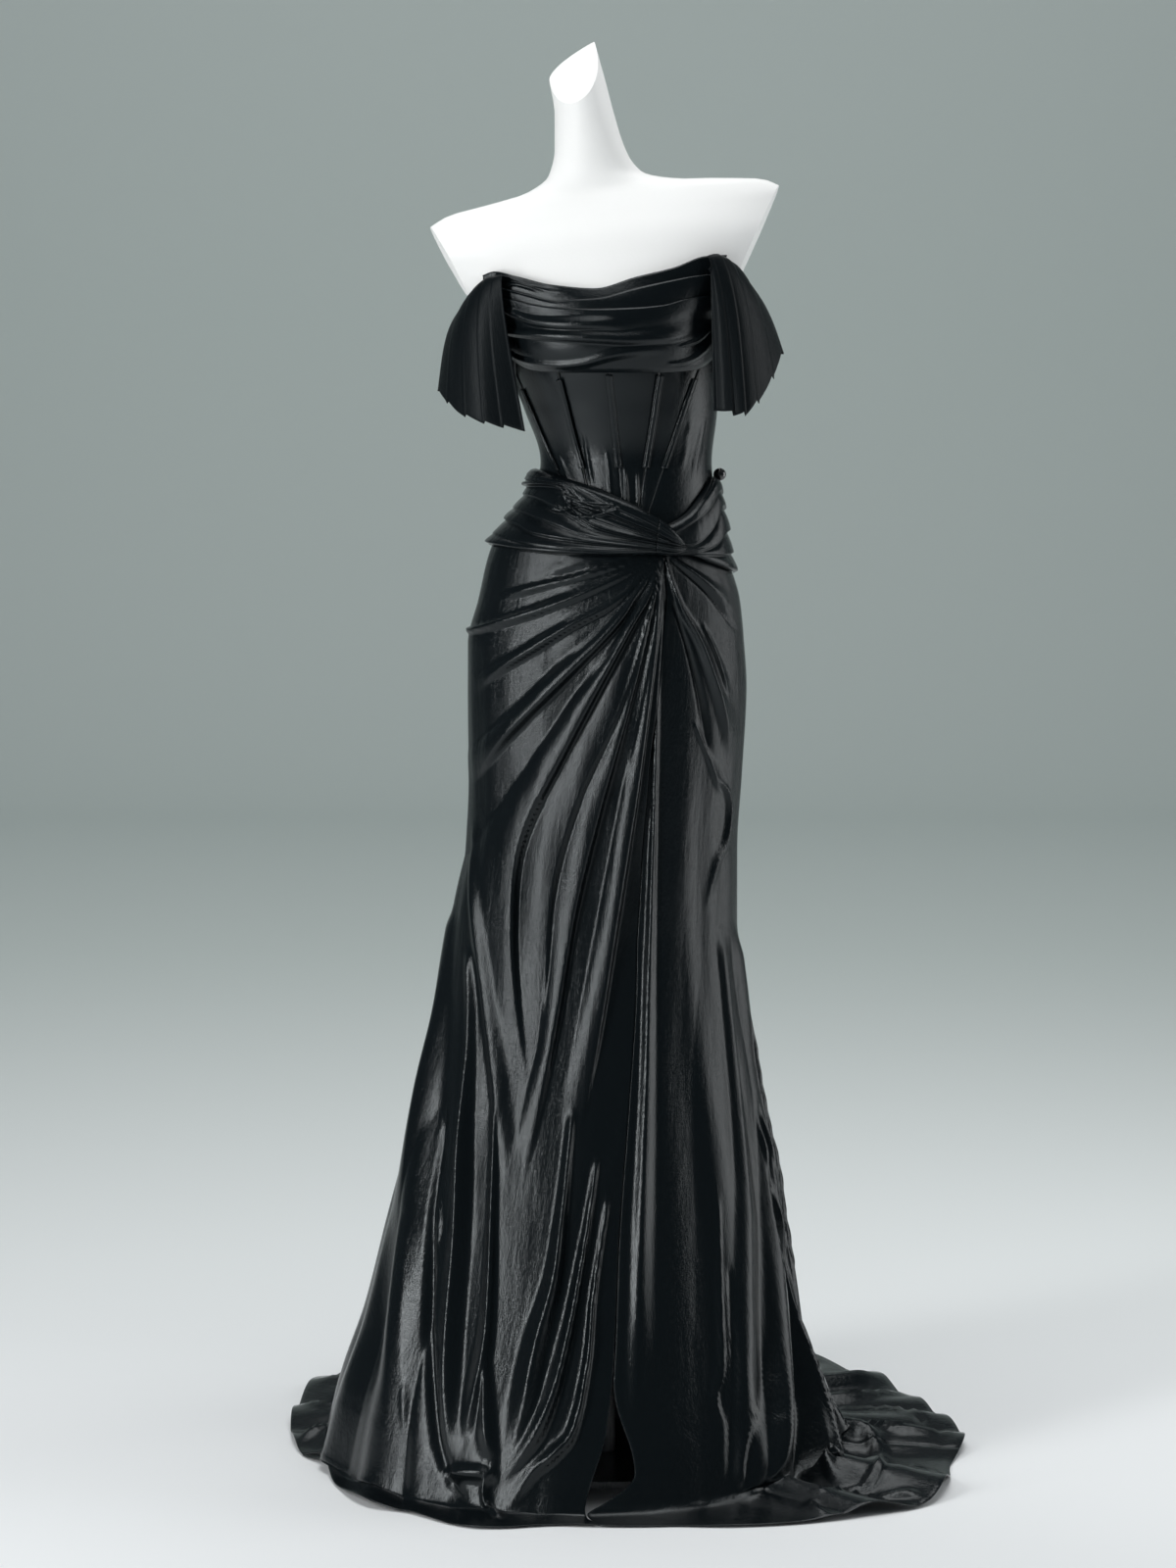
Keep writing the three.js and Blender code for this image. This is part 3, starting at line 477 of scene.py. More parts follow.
# Shares of a crease's length over which it starts, grows and fades,
# and the share of its rise that it starts at.
CREASE_START = 0.04
CREASE_GROWTH = 0.3
CREASE_FADE = 0.35
CREASE_FIRST = 0.45
CROSSING = 0.12  # share of its rise that the lower of two ridges adds to the higher


def crease_height(x, height, crease):
    """One crease's rise at points (x, height). It starts lower than it goes on, and fades at its end."""
    line = smooth_path(crease["path"])
    start, step = line[:-1], np.diff(line, axis=0)
    reach = crease["end_width"] * 1.6 + crease["start_width"]  # no part of it goes further out
    result = np.zeros(x.shape)
    near = (x > line[:, 0].min() - reach) & (x < line[:, 0].max() + reach)
    near &= (height > line[:, 1].min() - reach) & (height < line[:, 1].max() + reach)
    if not near.any():
        return result
    px, pz = x[near][:, None] - start[:, 0], height[near][:, None] - start[:, 1]
    length = (step**2).sum(1)
    along = np.clip((px * step[:, 0] + pz * step[:, 1]) / length, 0, 1)
    away = np.hypot(px - along * step[:, 0], pz - along * step[:, 1])
    k = away.argmin(1)
    pick = np.arange(len(k))
    t = (k + along[pick, k]) / len(step)
    side = np.sign(step[k, 0] * pz[pick, k] - step[k, 1] * px[pick, k])
    width = mix(crease["start_width"], crease["end_width"], ease(t * 1.1)) * (1 + side * crease["lean"])
    s = np.clip(away[pick, k] / width, 0, 1)
    fade = ease(t / CREASE_START + 0.25) * ease((1 - t) / CREASE_FADE)
    grow = mix(CREASE_FIRST, 1, ease(t / CREASE_GROWTH))
    result[near] = crease["rise"] * grow * fade * (1 - s ** crease["crest"]) ** 2
    return result


def relief(x, height, rows):
    """All creases of a table together. Ridges meet in sharp valleys."""
    ridges = np.zeros(x.shape)
    valleys = np.zeros(x.shape)
    for crease in rows:
        h = crease_height(x, height, crease)
        if crease["rise"] > 0:
            ridges = np.maximum(ridges, h) + CROSSING * np.minimum(ridges, h)
        else:
            valleys += h
    return ridges + valleys


def overlap_folds(place, crests, rises, unit, drop):
    """Overlapping folds side by side: each facet climbs to its crest and falls sharply behind it.

    place and crests grow across the folds, and unit is the length in millimetres of one of their units. drop
    is the width of a fall in millimetres.
    """
    total = np.zeros(np.broadcast(place, crests[0]).shape)
    for i, crest in enumerate(crests):
        behind = (place - crest) * unit
        fall = rises[i] * (1 - ease(behind / drop))
        if i + 1 < len(crests):
            share = np.clip((place - crest) / np.maximum(crests[i + 1] - crest, 1e-3), 0, 1)
            fall = fall + rises[i + 1] * share * (2 - share)
            inside = (place >= crest) & (place < crests[i + 1])
        else:
            inside = place >= crest
        total = np.where(inside, fall, total)
    return total


def fan_rise(x, height):
    """Rise of the folds that fan from the knot over the skirt's right front."""
    away_x = FAN_CENTRE[0] - x
    away_z = FAN_CENTRE[1] - height
    distance = np.hypot(away_x, away_z)
    turn = np.degrees(np.arctan2(away_z, away_x))
    crests = []
    rises = []
    for rise, path in FAN_FOLDS:
        line = FAN_CENTRE - smooth_path(path)
        line_turn = np.degrees(np.arctan2(line[:, 1], line[:, 0]))
        line_distance = np.hypot(line[:, 0], line[:, 1])
        crests.append(np.interp(distance, line_distance, line_turn))
        end = line_distance[-1]
        grow = ease(distance / FAN_START + 0.12)
        rises.append(rise * grow * ease((end * 1.02 - distance) / (end * FAN_FADE)))
    for i in range(1, len(crests)):
        crests[i] = np.maximum(crests[i], crests[i - 1] + FAN_APART)
    return overlap_folds(turn, crests, rises, np.radians(distance), FAN_DROP)


# Waves of hanging satin: radians for each degree round and for each millimetre down, and a start.
RIPPLES = [(0.11, 0.004, 0.3), (0.23, -0.006, 1.9), (0.41, 0.009, 4.1), (0.07, 0.013, 2.2)]


def ripple(angle, path, size):
    """A gentle unevenness of hanging satin."""
    total = sum(np.sin(turning * angle + falling * path + start) for turning, falling, start in RIPPLES)
    return size * total / len(RIPPLES)


def front_share(angle, edge, blend):
    """1 over the front, falling to 0 over a blend that ends at an edge, both as sines of angles."""
    return ease((-np.sin(np.radians(angle)) - edge) / blend)


# ---- Meshes

def put(name, data):
    """A new object with its data, in the scene."""
    obj = bpy.data.objects.new(name, data)
    bpy.context.scene.collection.objects.link(obj)
    return obj


def mesh_object(name, vertices, faces, uv=None):
    """A smooth-shaded mesh in metres from millimetre points."""
    mesh = bpy.data.meshes.new(name)
    faces = np.asarray(faces, np.int32)
    mesh.vertices.add(len(vertices))
    mesh.vertices.foreach_set("co", (np.asarray(vertices) * MM).astype(np.float32).ravel())
    mesh.loops.add(faces.size)
    mesh.loops.foreach_set("vertex_index", faces.ravel())
    mesh.polygons.add(len(faces))
    mesh.polygons.foreach_set("loop_start", np.arange(0, faces.size, faces.shape[1], dtype=np.int32))
    mesh.polygons.foreach_set("use_smooth", np.ones(len(faces), bool))
    if uv is not None:
        layer = mesh.uv_layers.new(name="cloth")
        layer.data.foreach_set("uv", uv[faces.ravel()].astype(np.float32).ravel())
    mesh.update(calc_edges=True)
    mesh.validate()
    return put(name, mesh)


def cloth_uv(grid):
    """Distances across and down a grid in metres, for the weave and the satin's direction."""
    across = np.linalg.norm(np.diff(grid, axis=1), axis=-1).mean(0)
    down = np.linalg.norm(np.diff(grid, axis=0), axis=-1).mean(1)
    u = np.concatenate([[0], np.cumsum(across)]) * MM
    v = -np.concatenate([[0], np.cumsum(down)]) * MM
    return np.stack(np.meshgrid(u, v), axis=-1).reshape(-1, 2)


BEAD = 0.45  # how far a bead stands past its edge, as a share of the wall


def shell(name, grid, wall=SATIN_WALL):
    """A closed thin wall under a grid of outer points, with a bead round its edges."""
    rows, columns = grid.shape[:2]
    inner = grid - normals(grid) * wall
    middle = (grid + inner) / 2
    count = rows * columns
    index = np.arange(count).reshape(rows, columns)

    def quads(block, flip):
        corners = [block[:-1, :-1], block[1:, :-1], block[1:, 1:], block[:-1, 1:]]
        return np.stack([c.ravel() for c in (corners[::-1] if flip else corners)], axis=1)

    rim = np.concatenate([index[:-1, 0], index[-1, :-1], index[:0:-1, -1], index[0, :0:-1]])
    bead = middle.reshape(-1, 3)[rim]
    along = np.roll(bead, 1, axis=0) - np.roll(bead, -1, axis=0)
    side = np.cross(normals(grid).reshape(-1, 3)[rim], along)
    side /= np.maximum(np.linalg.norm(side, axis=1, keepdims=True), 1e-9)
    outward = bead + side * wall * BEAD
    after = np.roll(rim, -1)
    edge = 2 * count + np.arange(len(rim))
    edge_after = np.roll(edge, -1)
    outer_rim = np.stack([rim, edge, edge_after, after], axis=1)
    inner_rim = np.stack([edge, rim + count, after + count, edge_after], axis=1)
    faces = np.concatenate([quads(index, False), quads(index + count, True), outer_rim, inner_rim])
    points = np.concatenate([grid.reshape(-1, 3), inner.reshape(-1, 3), outward])
    uv = cloth_uv(grid)
    return mesh_object(name, points, faces, np.concatenate([uv, uv, uv[rim]]))


def share_steps(*bands):
    """Values along several bands (from, to, count), joined end to end."""
    parts = [np.linspace(start, end, count, endpoint=False) for start, end, count in bands]
    return np.concatenate(parts + [[bands[-1][1]]])


def seat(obj, node, material):
    """Gives a finished piece its material and puts it in the place of its CAD node, which it hides."""
    obj.data.materials.append(material)
    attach(obj, "root")
    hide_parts(node)


# ---- Materials

class Look:
    """A material being built from shader nodes."""

    def __init__(self, name):
        self.material = bpy.data.materials.new(name)
        self.material.use_nodes = True
        self.tree = self.material.node_tree

    def feed(self, node, values, sources):
        """Sets some of a node's inputs to values, and links others to the outputs that are their sources."""
        for name, value in values.items():
            node.inputs[name].default_value = value
        for name, source in sources.items():
            self.tree.links.new(source, node.inputs[name])
        return node

    def add(self, kind, values, sources):
        return self.feed(self.tree.nodes.new("ShaderNode" + kind), values, sources)

    def place(self, kind, scale=(1, 1, 1)):
        """Places in metres, stretched by a scale: Object, or UV for the cloth's own directions."""
        source = self.add("TexCoord", {}, {}).outputs[kind]
        return self.add("Mapping", {"Scale": scale}, {"Vector": source}).outputs["Vector"]

    def noise(self, place, scale, detail, roughness=0.5):
        values = {"Scale": scale, "Detail": detail, "Roughness": roughness}
        return self.add("TexNoise", values, {"Vector": place}).outputs["Fac"]

    def between(self, value, low, high, start=0.3, end=0.7):
        """A value that goes from low to high as another goes from start to end."""
        values = {"From Min": start, "From Max": end, "To Min": low, "To Max": high}
        return self.add("MapRange", values, {"Value": value}).outputs["Result"]

    def bump(self, height, depth, below=None):
        """A bump as deep as a distance in metres, on top of the one below."""
        sources = {"Height": height} if below is None else {"Height": height, "Normal": below}
        return self.add("Bump", {"Strength": 1, "Distance": depth}, sources).outputs["Normal"]

    def finish(self, values, sources):
        self.feed(self.tree.nodes["Principled BSDF"], values, sources)
        return self.material


# Satin's unevenness, from coarse to fine: how often it repeats in a metre across and down the cloth.
SOFT = (30, 8, 1)
STREAK = (190, 26, 1)
SLUB = (620, 170, 1)
WEAVE = 420
STREAK_SHARE = 1 / 6  # of the soft crumple's depth
SLUB_DEPTH = 0.00028
WEAVE_DEPTH = 0.00003


def satin_material(name, crumple=0.0015, roughness=(0.11, 0.26), shine=0.3):
    """Black stretch satin: a fine weave, a grain of slubs, and a crumple that breaks up its highlights."""
    look = Look(name)
    threads = {"Scale": WEAVE, "Distortion": 1.5, "Detail": 1}
    weave = look.add("TexWave", threads, {"Vector": look.place("UV")})
    weave.bands_direction = "DIAGONAL"
    slub = look.noise(look.place("UV", SLUB), 1, 2, 0.7)
    streak = look.noise(look.place("UV", STREAK), 1, 3, 0.6)
    soft = look.noise(look.place("UV", SOFT), 1, 3)
    normal = look.bump(soft, crumple)
    normal = look.bump(streak, crumple * STREAK_SHARE, normal)
    normal = look.bump(slub, SLUB_DEPTH, normal)
    normal = look.bump(weave.outputs["Fac"], WEAVE_DEPTH, normal)
    values = {
        "Base Color": (0.0032, 0.0048, 0.0058, 1),
        "Specular IOR Level": shine,
        "Specular Tint": (0.92, 0.98, 1, 1),
        "Anisotropic": 0.35,
    }
    return look.finish(values, {"Normal": normal, "Roughness": look.between(slub, *roughness)})


def form_material():
    """Matte white moulded shell, with the faintest orange-peel."""
    look = Look("matte_white_form")
    peel = look.noise(look.place("Object"), 420, 2)
    cloud = look.noise(look.place("Object"), 9, 3)
    sources = {"Normal": look.bump(peel, 0.00008), "Roughness": look.between(cloud, 0.5, 0.62)}
    return look.finish({"Base Color": (0.86, 0.865, 0.855, 1), "Specular IOR Level": 0.35}, sources)


def steel_material():
    """Brushed steel of the stand."""
    look = Look("brushed_steel")
    brushing = look.noise(look.place("Object", (900, 900, 12)), 1, 3)
    sources = {"Normal": look.bump(brushing, 0.00002), "Roughness": look.between(brushing, 0.24, 0.4)}
    return look.finish({"Base Color": (0.56, 0.57, 0.58, 1), "Metallic": 1}, sources)


def button_material():
    """Polished black ball button."""
    look = Look("polished_black")
    wear = look.noise(look.place("Object"), 300, 2)
    sources = {"Roughness": look.between(wear, 0.06, 0.14)}
    return look.finish({"Base Color": (0.01, 0.011, 0.012, 1), "Coat Weight": 0.6}, sources)


def studio_material():
    """A pale floor that turns to grey towards the wall."""
    look = Look("pale_studio")
    split = look.add("SeparateXYZ", {}, {"Vector": look.place("Object")})
    ramp = look.add("ValToRGB", {}, {"Fac": look.between(split.outputs["Y"], 0, 1, 0.2, 4.6)})
    ramp.color_ramp.elements[0].color = (0.82, 0.84, 0.85, 1)
    ramp.color_ramp.elements[1].color = (0.76, 0.83, 0.805, 1)
    return look.finish({"Roughness": 0.9}, {"Base Color": ramp.outputs["Color"]})


SATIN = satin_material("black_satin")
TAUT_SATIN = satin_material("black_satin_taut", crumple=0.0006)
MATTE = satin_material("black_crepe", crumple=0.001, roughness=(0.36, 0.5), shine=0.12)
FORM = form_material()
STEEL = steel_material()
GLOSS = button_material()


# ---- Skirt

SKIRT_PATHS = share_steps((WAIST_SEAM, 780, 95), (780, 70, 115), (70, -40, 22), (-40, -FLOOR_PATH, 18))
CREASED = (0.7, 0.12)  # the middle of the front, as an edge and a blend of front_share
CREASED_BELOW = 700  # path below which creases stand there for the largest folds
FRONT_FOLDS = 0.2  # share of the largest folds that is left there
FRONT = (-0.35, 0.33)  # all that the front's tables and the fan cover, as an edge and a blend
RIPPLE = 1.2
RIPPLE_BELOW = 1000
BLEND = 200  # length of path over which creases and ripple come in
SLIT_GAP = 0.5  # degrees between the slit's edges
SLIT_OPENING = 10  # degrees more where the slit opens, between the paths -15 and 150


def slit_angle(path):
    """The slit's edge on the right panel."""
    return read(SLIT, "angle", path)


def slit_left(path):
    """The slit's edge on the left panel."""
    opening = SLIT_OPENING * ease((150 - path) / 130) * ease((path + 15) / 60)
    return slit_angle(path) + (SLIT_GAP + opening)


def skirt_panel(name, start, end, columns, tables, fan=False):
    """A skirt panel between two edges, whose angles depend on the path."""
    path = SKIRT_PATHS[:, None]
    angle = mix(start(path), end(path), np.linspace(0, 1, columns)[None, :])
    base = skirt_base(angle, path)
    height = np.broadcast_to(path, angle.shape)
    creased = front_share(angle, *CREASED) * ease((CREASED_BELOW - path) / BLEND)
    rise = fold_rise(angle, path) * mix(1, FRONT_FOLDS, creased)
    rise = rise + relief(angle * DEGREE, height, TRAIN)
    rise = rise + ripple(angle, path, RIPPLE) * ease((RIPPLE_BELOW - path) / BLEND)
    detail = relief(base[..., 0], height, tables)
    if fan:
        detail = detail + fan_rise(base[..., 0], height)
    rise = rise + detail * front_share(angle, *FRONT)
    grid = base + normals(base) * rise[..., None]
    seat(shell(name + "_satin", grid), name, SATIN)


def build_skirt():
    def at(value):
        return lambda path: np.full_like(path, value, dtype=float)

    skirt_panel("skirt_front_right", at(-180.0), slit_angle, 180, HANG_RIGHT, fan=True)
    skirt_panel("skirt_front_left", slit_left, at(0.0), 120, FAN_LEFT + HANG_LEFT)
    skirt_panel("skirt_back_left", at(0.0), at(90.0), 84, FAN_LEFT + HANG_LEFT)
    skirt_panel("skirt_back_right", at(90.0), at(180.0), 84, HANG_RIGHT, fan=True)


# ---- Bodice

BODICE_ROWS = 70
SEAM_GAP = 0.1  # degrees from a seam to the edge of a panel
SEAM_DIP = 0.9  # how far a panel's edges are pulled in
BONING_HALF_WIDTH = 4.2
BONING_OUT = 0.4  # how far a channel's edge stands out
BONING_RISE = 1.9  # how much further its middle does
# Its two lines of stitching. Their place and width are shares of the half width.
STITCH = {"at": 0.62, "width": 0.13, "depth": 1.2}
# How much further each panel's left edge stands out than its right edge.
BODICE_TILT = {
    "side_front_right": 1.0, "centre_front_right": 2.4, "centre_front_left": -1.6, "side_front_left": 1.4,
}
BODICE_CREASES = creases([
    (2.0, 2, 4, 0.2, 1.6, [(-24, 1190), (-20, 1160), (-14, 1126)]),
    (2.2, 2, 3, 0, 1.5, [(2, 1168), (5, 1140), (7, 1104)]),
    (2.6, 2, 4, 0.2, 1.5, [(22, 1150), (24, 1130), (24, 1100)]),
    (2.4, 2, 3, 0, 1.5, [(36, 1146), (37, 1125), (38, 1098)]),
    (1.8, 2, 4, 0, 1.6, [(-52, 1165), (-44, 1145), (-38, 1128)]),
    (2.0, 2, 3, 0, 1.6, [(98, 1214), (92, 1180), (84, 1140)]),
    (2.0, 2, 3, 0, 1.6, [(112, 1206), (106, 1170), (96, 1128)]),
])


def seam_angle(bust, waist, z):
    """A seam's angle at a height. The front's seams are straight seen from the front."""
    share = np.clip((z - WAIST_LEVEL) / (BUST_LEVEL - WAIST_LEVEL), -0.25, 1.1)
    if bust >= 0 or bust == -180:
        return mix(waist, bust, share)
    x = mix(gown_point(waist, WAIST_LEVEL)[..., 0], gown_point(bust, BUST_LEVEL)[..., 0], share)
    left, right = read(SECTIONS, "left", z), read(SECTIONS, "right", z)
    return -np.degrees(np.arccos(np.clip((2 * x - left - right) / (right - left), -1, 1)))


def bodice_point(angle, share, out=0):
    top = read(BODICE_TOP, "z", angle)
    return gown_point(angle, mix(WAIST_SEAM + SEAM, top, share), out)


def bodice_panel(name, start, end):
    """A panel between two seams, drawn a little taut over the form."""
    share = np.linspace(1, 0, BODICE_ROWS)[:, None]
    z = mix(WAIST_SEAM, BODICE_LEVEL, share)
    across = np.linspace(0, 1, 26)[None, :]
    angle = mix(seam_angle(*start[1:], z) + SEAM_GAP, seam_angle(*end[1:], z) - SEAM_GAP, across)
    tilt = BODICE_TILT.get(name, 0)
    sunk = SEAM_DIP * (1 - np.sin(np.pi * across) ** 0.5)
    out = tilt * (across - (1 if tilt > 0 else 0)) - sunk
    base = bodice_point(angle, share)
    grid = bodice_point(angle, share, out + relief(base[..., 0], base[..., 2], BODICE_CREASES))
    node = "bodice_" + name
    seat(shell(node + "_satin", grid, THIN_WALL), node, TAUT_SATIN)


def boning_channel(name, bust, waist):
    """A narrow double-stitched channel over a seam. In front it ends under the cowl."""
    top = 0.7 if bust < 0 else 1.0
    share = np.linspace(top, 0.3, BODICE_ROWS)[:, None]
    z = mix(WAIST_SEAM, BODICE_LEVEL, share)
    centre = seam_angle(bust, waist, z)
    one_degree = np.linalg.norm(gown_point(centre + 1, z) - gown_point(centre, z), axis=-1)
    across = np.linspace(-1, 1, 17)[None, :]
    stitch = np.exp(-(((np.abs(across) - STITCH["at"]) / STITCH["width"]) ** 2))
    profile = BONING_OUT + BONING_RISE * (1 - np.abs(across) ** 6) - STITCH["depth"] * stitch
    grid = bodice_point(centre + across * BONING_HALF_WIDTH / one_degree, share, profile)
    node = "boning_" + name
    seat(shell(node + "_satin", grid, BONING_WALL), node, TAUT_SATIN)


def build_bodice():
    for i, name in enumerate(BODICE_PANELS):
        bodice_panel(name, BODICE_SEAMS[i], BODICE_SEAMS[i + 1])
    for name, bust, waist in BODICE_SEAMS[:-1]:
        if name in BONED:
            boning_channel(name, bust, waist)


# ---- Cowl

BAND_CREASES = creases([
    (4, 5, 10, 0.3, 2, [(-118, 1330), (-100, 1321), (-80, 1313), (-50, 1309), (0, 1308), (44, 1300)]),
    (5, 6, 12, 0.3, 2, [
        (-124, 1308), (-105, 1302), (-61, 1297), (-8, 1294), (36, 1293), (84, 1300), (118, 1322),
    ]),
    (4, 4, 9, 0.2, 1.8, [
        (-120, 1288), (-96, 1272), (-61, 1265), (-26, 1266), (8, 1275), (46, 1281), (80, 1284),
    ]),
    (4, 3, 6, 0.2, 1.6, [(70, 1266), (92, 1270), (108, 1280), (124, 1298)]),
    (3, 3, 5, 0.2, 1.6, [(84, 1286), (104, 1294), (124, 1314)]),
    (2.5, 3, 5, 0, 1.6, [(-122, 1296), (-112, 1282), (-100, 1268), (-84, 1260)]),
])
MIDDLE_CREASES = creases([
    (3.5, 3, 4, 0.2, 1.4, [(-128, 1354), (-112, 1351), (-90, 1345), (-62, 1337), (-36, 1333)]),
])
UPPER_CREASES = creases([
    (3.5, 3, 4, 0.3, 1.4, [(-122, 1366), (-108, 1364), (-92, 1358), (-66, 1351), (-44, 1346)]),
    (3, 2, 4, 0, 1.4, [(-112, 1352), (-104, 1356), (-88, 1353), (-66, 1345)]),
])
# How far each layer stands out over the bodice, from its lower edge up.
BAND_PROFILE = table("share out", [(0, 0.8), (0.08, 5), (0.35, 9), (0.6, 8), (0.85, 11), (1, 11.5)])
MIDDLE_PROFILE = table("share out", [(0, 6.5), (0.5, 8), (1, 8.6)])
UPPER_PROFILE = table("share out", [(0, 4), (0.5, 5), (1, 5.6)])
# Each layer's edges in COWL, its overlap with the layer below, its rows, its creases and its profile.
COWL_LAYERS = {
    "cowl_band": ("hem", "band", 0, 80, BAND_CREASES, BAND_PROFILE),
    "cowl_fold_middle": ("band", "middle", 12, 34, MIDDLE_CREASES, MIDDLE_PROFILE),
    "cowl_fold_upper": ("middle", "top", 14, 34, UPPER_CREASES, UPPER_PROFILE),
}
# Angles of the cowl's slanting ends, at a low and a high level.
COWL_LOW = {"level": 1265, "right": -170, "left": -10}
COWL_HIGH = {"level": 1365, "right": -133.4, "left": -49.6}
COWL_LIFT = 0.2  # a little more room under each layer
ROLL = 1.8  # radius of a layer's folded upper edge


def cowl_layer(name, low_edge, high_edge, overlap, rows, wrinkles, profile):
    """A layer of the cowl, whose upper edge rolls over inwards."""
    share = np.linspace(1, 0, rows)[:, None]
    columns = np.linspace(0, 1, 190)[None, :]
    level = mix(read(COWL, low_edge, -90) - overlap, read(COWL, high_edge, -90), share)
    up = np.clip((level - COWL_LOW["level"]) / (COWL_HIGH["level"] - COWL_LOW["level"]), 0, 1)
    right, left = (mix(COWL_LOW[side], COWL_HIGH[side], up) for side in ("right", "left"))
    angle = mix(right, left, columns)
    z = mix(read(COWL, low_edge, angle) - overlap, read(COWL, high_edge, angle), share)
    z = z - read(SECTIONS, "tilt", z) * gown_point(angle, z)[..., 0]
    out = SEAM + CLOTH + COWL_LIFT + read(profile, "out", share)
    base = gown_point(angle, z, out)
    rise = relief(base[..., 0], base[..., 2], wrinkles)
    face = gown_point(angle, z, out + rise)
    curl = [
        gown_point(angle[:1], z[:1] + ROLL * np.sin(turn), out[:1] + rise[:1] - ROLL + ROLL * np.cos(turn))
        for turn in np.radians([150, 110, 70, 35])
    ]
    grid = np.concatenate(curl + [face])
    seat(shell(name + "_satin", grid, COWL_WALL), name, TAUT_SATIN)


def build_cowl():
    for name, layer in COWL_LAYERS.items():
        cowl_layer(name, *layer)


# ---- Sleeves

# Where each pleat starts and the last one ends, round the sleeve.
PLEATS_RIGHT = [0, 0.13, 0.25, 0.37, 0.48, 0.6, 0.72, 0.86, 1.01]
PLEATS_LEFT = [0, 0.16, 0.26, 0.35, 0.46, 0.57, 0.7, 0.84, 1.01]
PLEAT_DROP = 6  # width of the fall behind a pleat
SLEEVE_PUFF = 13  # how far a sleeve stands out between its head and its end


def sleeve(name, rows, side, pleat_edges, depth, step, edge_puff):
    """A sleeve of shallow knife pleats, which fan from the gathered head to a stepped end.

    side is -1 for the right and 1 for the left. depth is a pleat's, and step is how much further down its end
    reaches on one side. edge_puff is the share of the puff that is left at the sleeve's front and back edges.
    """
    u = np.linspace(0, 1, 160)[None, :]
    v = np.linspace(0, 1, 50)[:, None]
    head = np.stack([read(rows, "head_" + axis, u) for axis in "xyz"], axis=-1)
    end = np.stack([read(rows, "end_" + axis, u) for axis in "xyz"], axis=-1)
    length = np.linalg.norm(end - head, axis=-1)
    tooth = np.zeros(u.shape)
    for start, stop in zip(pleat_edges[:-1], pleat_edges[1:]):
        tooth = np.where((u >= start) & (u < stop), (u - start) / (stop - start), tooth)
    point = mix(head, end, (v * (1 - step * tooth / length))[..., None])
    front = np.where(head[..., 1:2] < 0, -1.0, 1.0)
    # The puff stands out to the side and a little up, and partly to the front or the back.
    away = mix(np.array([side, 0, 0.2]), np.concatenate([0 * front, front, 0 * front], axis=-1), 0.45)
    away = away / np.linalg.norm(away, axis=-1, keepdims=True)
    puff = SLEEVE_PUFF * np.sin(np.pi * v**0.6) * mix(edge_puff, 1, np.sin(np.pi * u) ** 0.7)
    point = point + away * puff[..., None]
    spread = np.linalg.norm(np.diff(end, axis=1), axis=-1).sum()
    crests = [np.array(edge) for edge in pleat_edges]
    pleats = overlap_folds(u, crests, [depth] * len(crests), spread, PLEAT_DROP)
    rise = pleats * mix(0.25, 1, v) - depth
    if side < 0:
        point = point[:, ::-1]
        rise = rise[:, ::-1]
    grid = point + normals(point) * rise[..., None]
    seat(shell(name + "_crepe", grid, THIN_WALL), name, MATTE)


def build_sleeves():
    sleeve("sleeve_right", SLEEVE_RIGHT, -1, PLEATS_RIGHT, 1.6, 4, 0.3)
    sleeve("sleeve_left", SLEEVE_LEFT, 1, PLEATS_LEFT, 3.0, 6, 0)


# ---- Waist wraps and knot

# Overlapping folds of the wraps and the knot, from the top down: each crest's rise and (angle, height) path.
WRAP_RIGHT_FOLDS = [
    (0, [(-190, 1152), (-160, 1152), (-115, 1135), (-85, 1115),
         (-68, 1098), (-60, 1086), (-55, 1076), (-51, 1067)]),
    (3, [(-190, 1147), (-131, 1139), (-115, 1129), (-95, 1111),
         (-78, 1096), (-68, 1086), (-60, 1076), (-51, 1065)]),
    (5, [(-190, 1140), (-131, 1136), (-115, 1118), (-95, 1102),
         (-78, 1088), (-68, 1080), (-60, 1071), (-51, 1064)]),
    (4, [(-190, 1136), (-131, 1133), (-115, 1107), (-95, 1092),
         (-78, 1080), (-68, 1075), (-60, 1067), (-51, 1063.5)]),
    (8, [(-190, 1131), (-160, 1133), (-131, 1131), (-123, 1117),
         (-109, 1098), (-95, 1085), (-68, 1071), (-51, 1063)]),
    (4, [(-190, 1122), (-151, 1120), (-123, 1106), (-107, 1091),
         (-95, 1081), (-68, 1069), (-60, 1064.5), (-51, 1062.5)]),
    (5, [(-190, 1108), (-151, 1103), (-123, 1090), (-107, 1080),
         (-95, 1074), (-68, 1066), (-60, 1062.5), (-51, 1062)]),
    (6, [(-190, 1096), (-151, 1090), (-130, 1079), (-100, 1070),
         (-78, 1065), (-68, 1063), (-60, 1060), (-51, 1061)]),
    (4, [(-190, 1079), (-155, 1076), (-125, 1067), (-100, 1062),
         (-78, 1060), (-68, 1059), (-60, 1057), (-51, 1060)]),
    (5, [(-190, 1068), (-159, 1066), (-111, 1057.5), (-78, 1056.5), (-68, 1056), (-60, 1055), (-51, 1059)]),
]
WRAP_LEFT_FOLDS = [
    (0, [(-63, 1088), (-51, 1100), (-35, 1124), (-15, 1143), (3, 1133)]),
    (4, [(-63, 1076), (-56, 1082), (-35, 1105), (-16, 1126), (3, 1121)]),
    (5, [(-63, 1068), (-46, 1068), (-30, 1086), (-16, 1108), (3, 1104)]),
    (6, [(-63, 1060), (-45, 1060), (-30, 1066), (-16, 1078), (3, 1082)]),
    (5, [(-63, 1056), (-45, 1056), (-20, 1054), (3, 1056)]),
    (4, [(-63, 1054), (-46, 1051), (-20, 1038), (3, 1033)]),
]
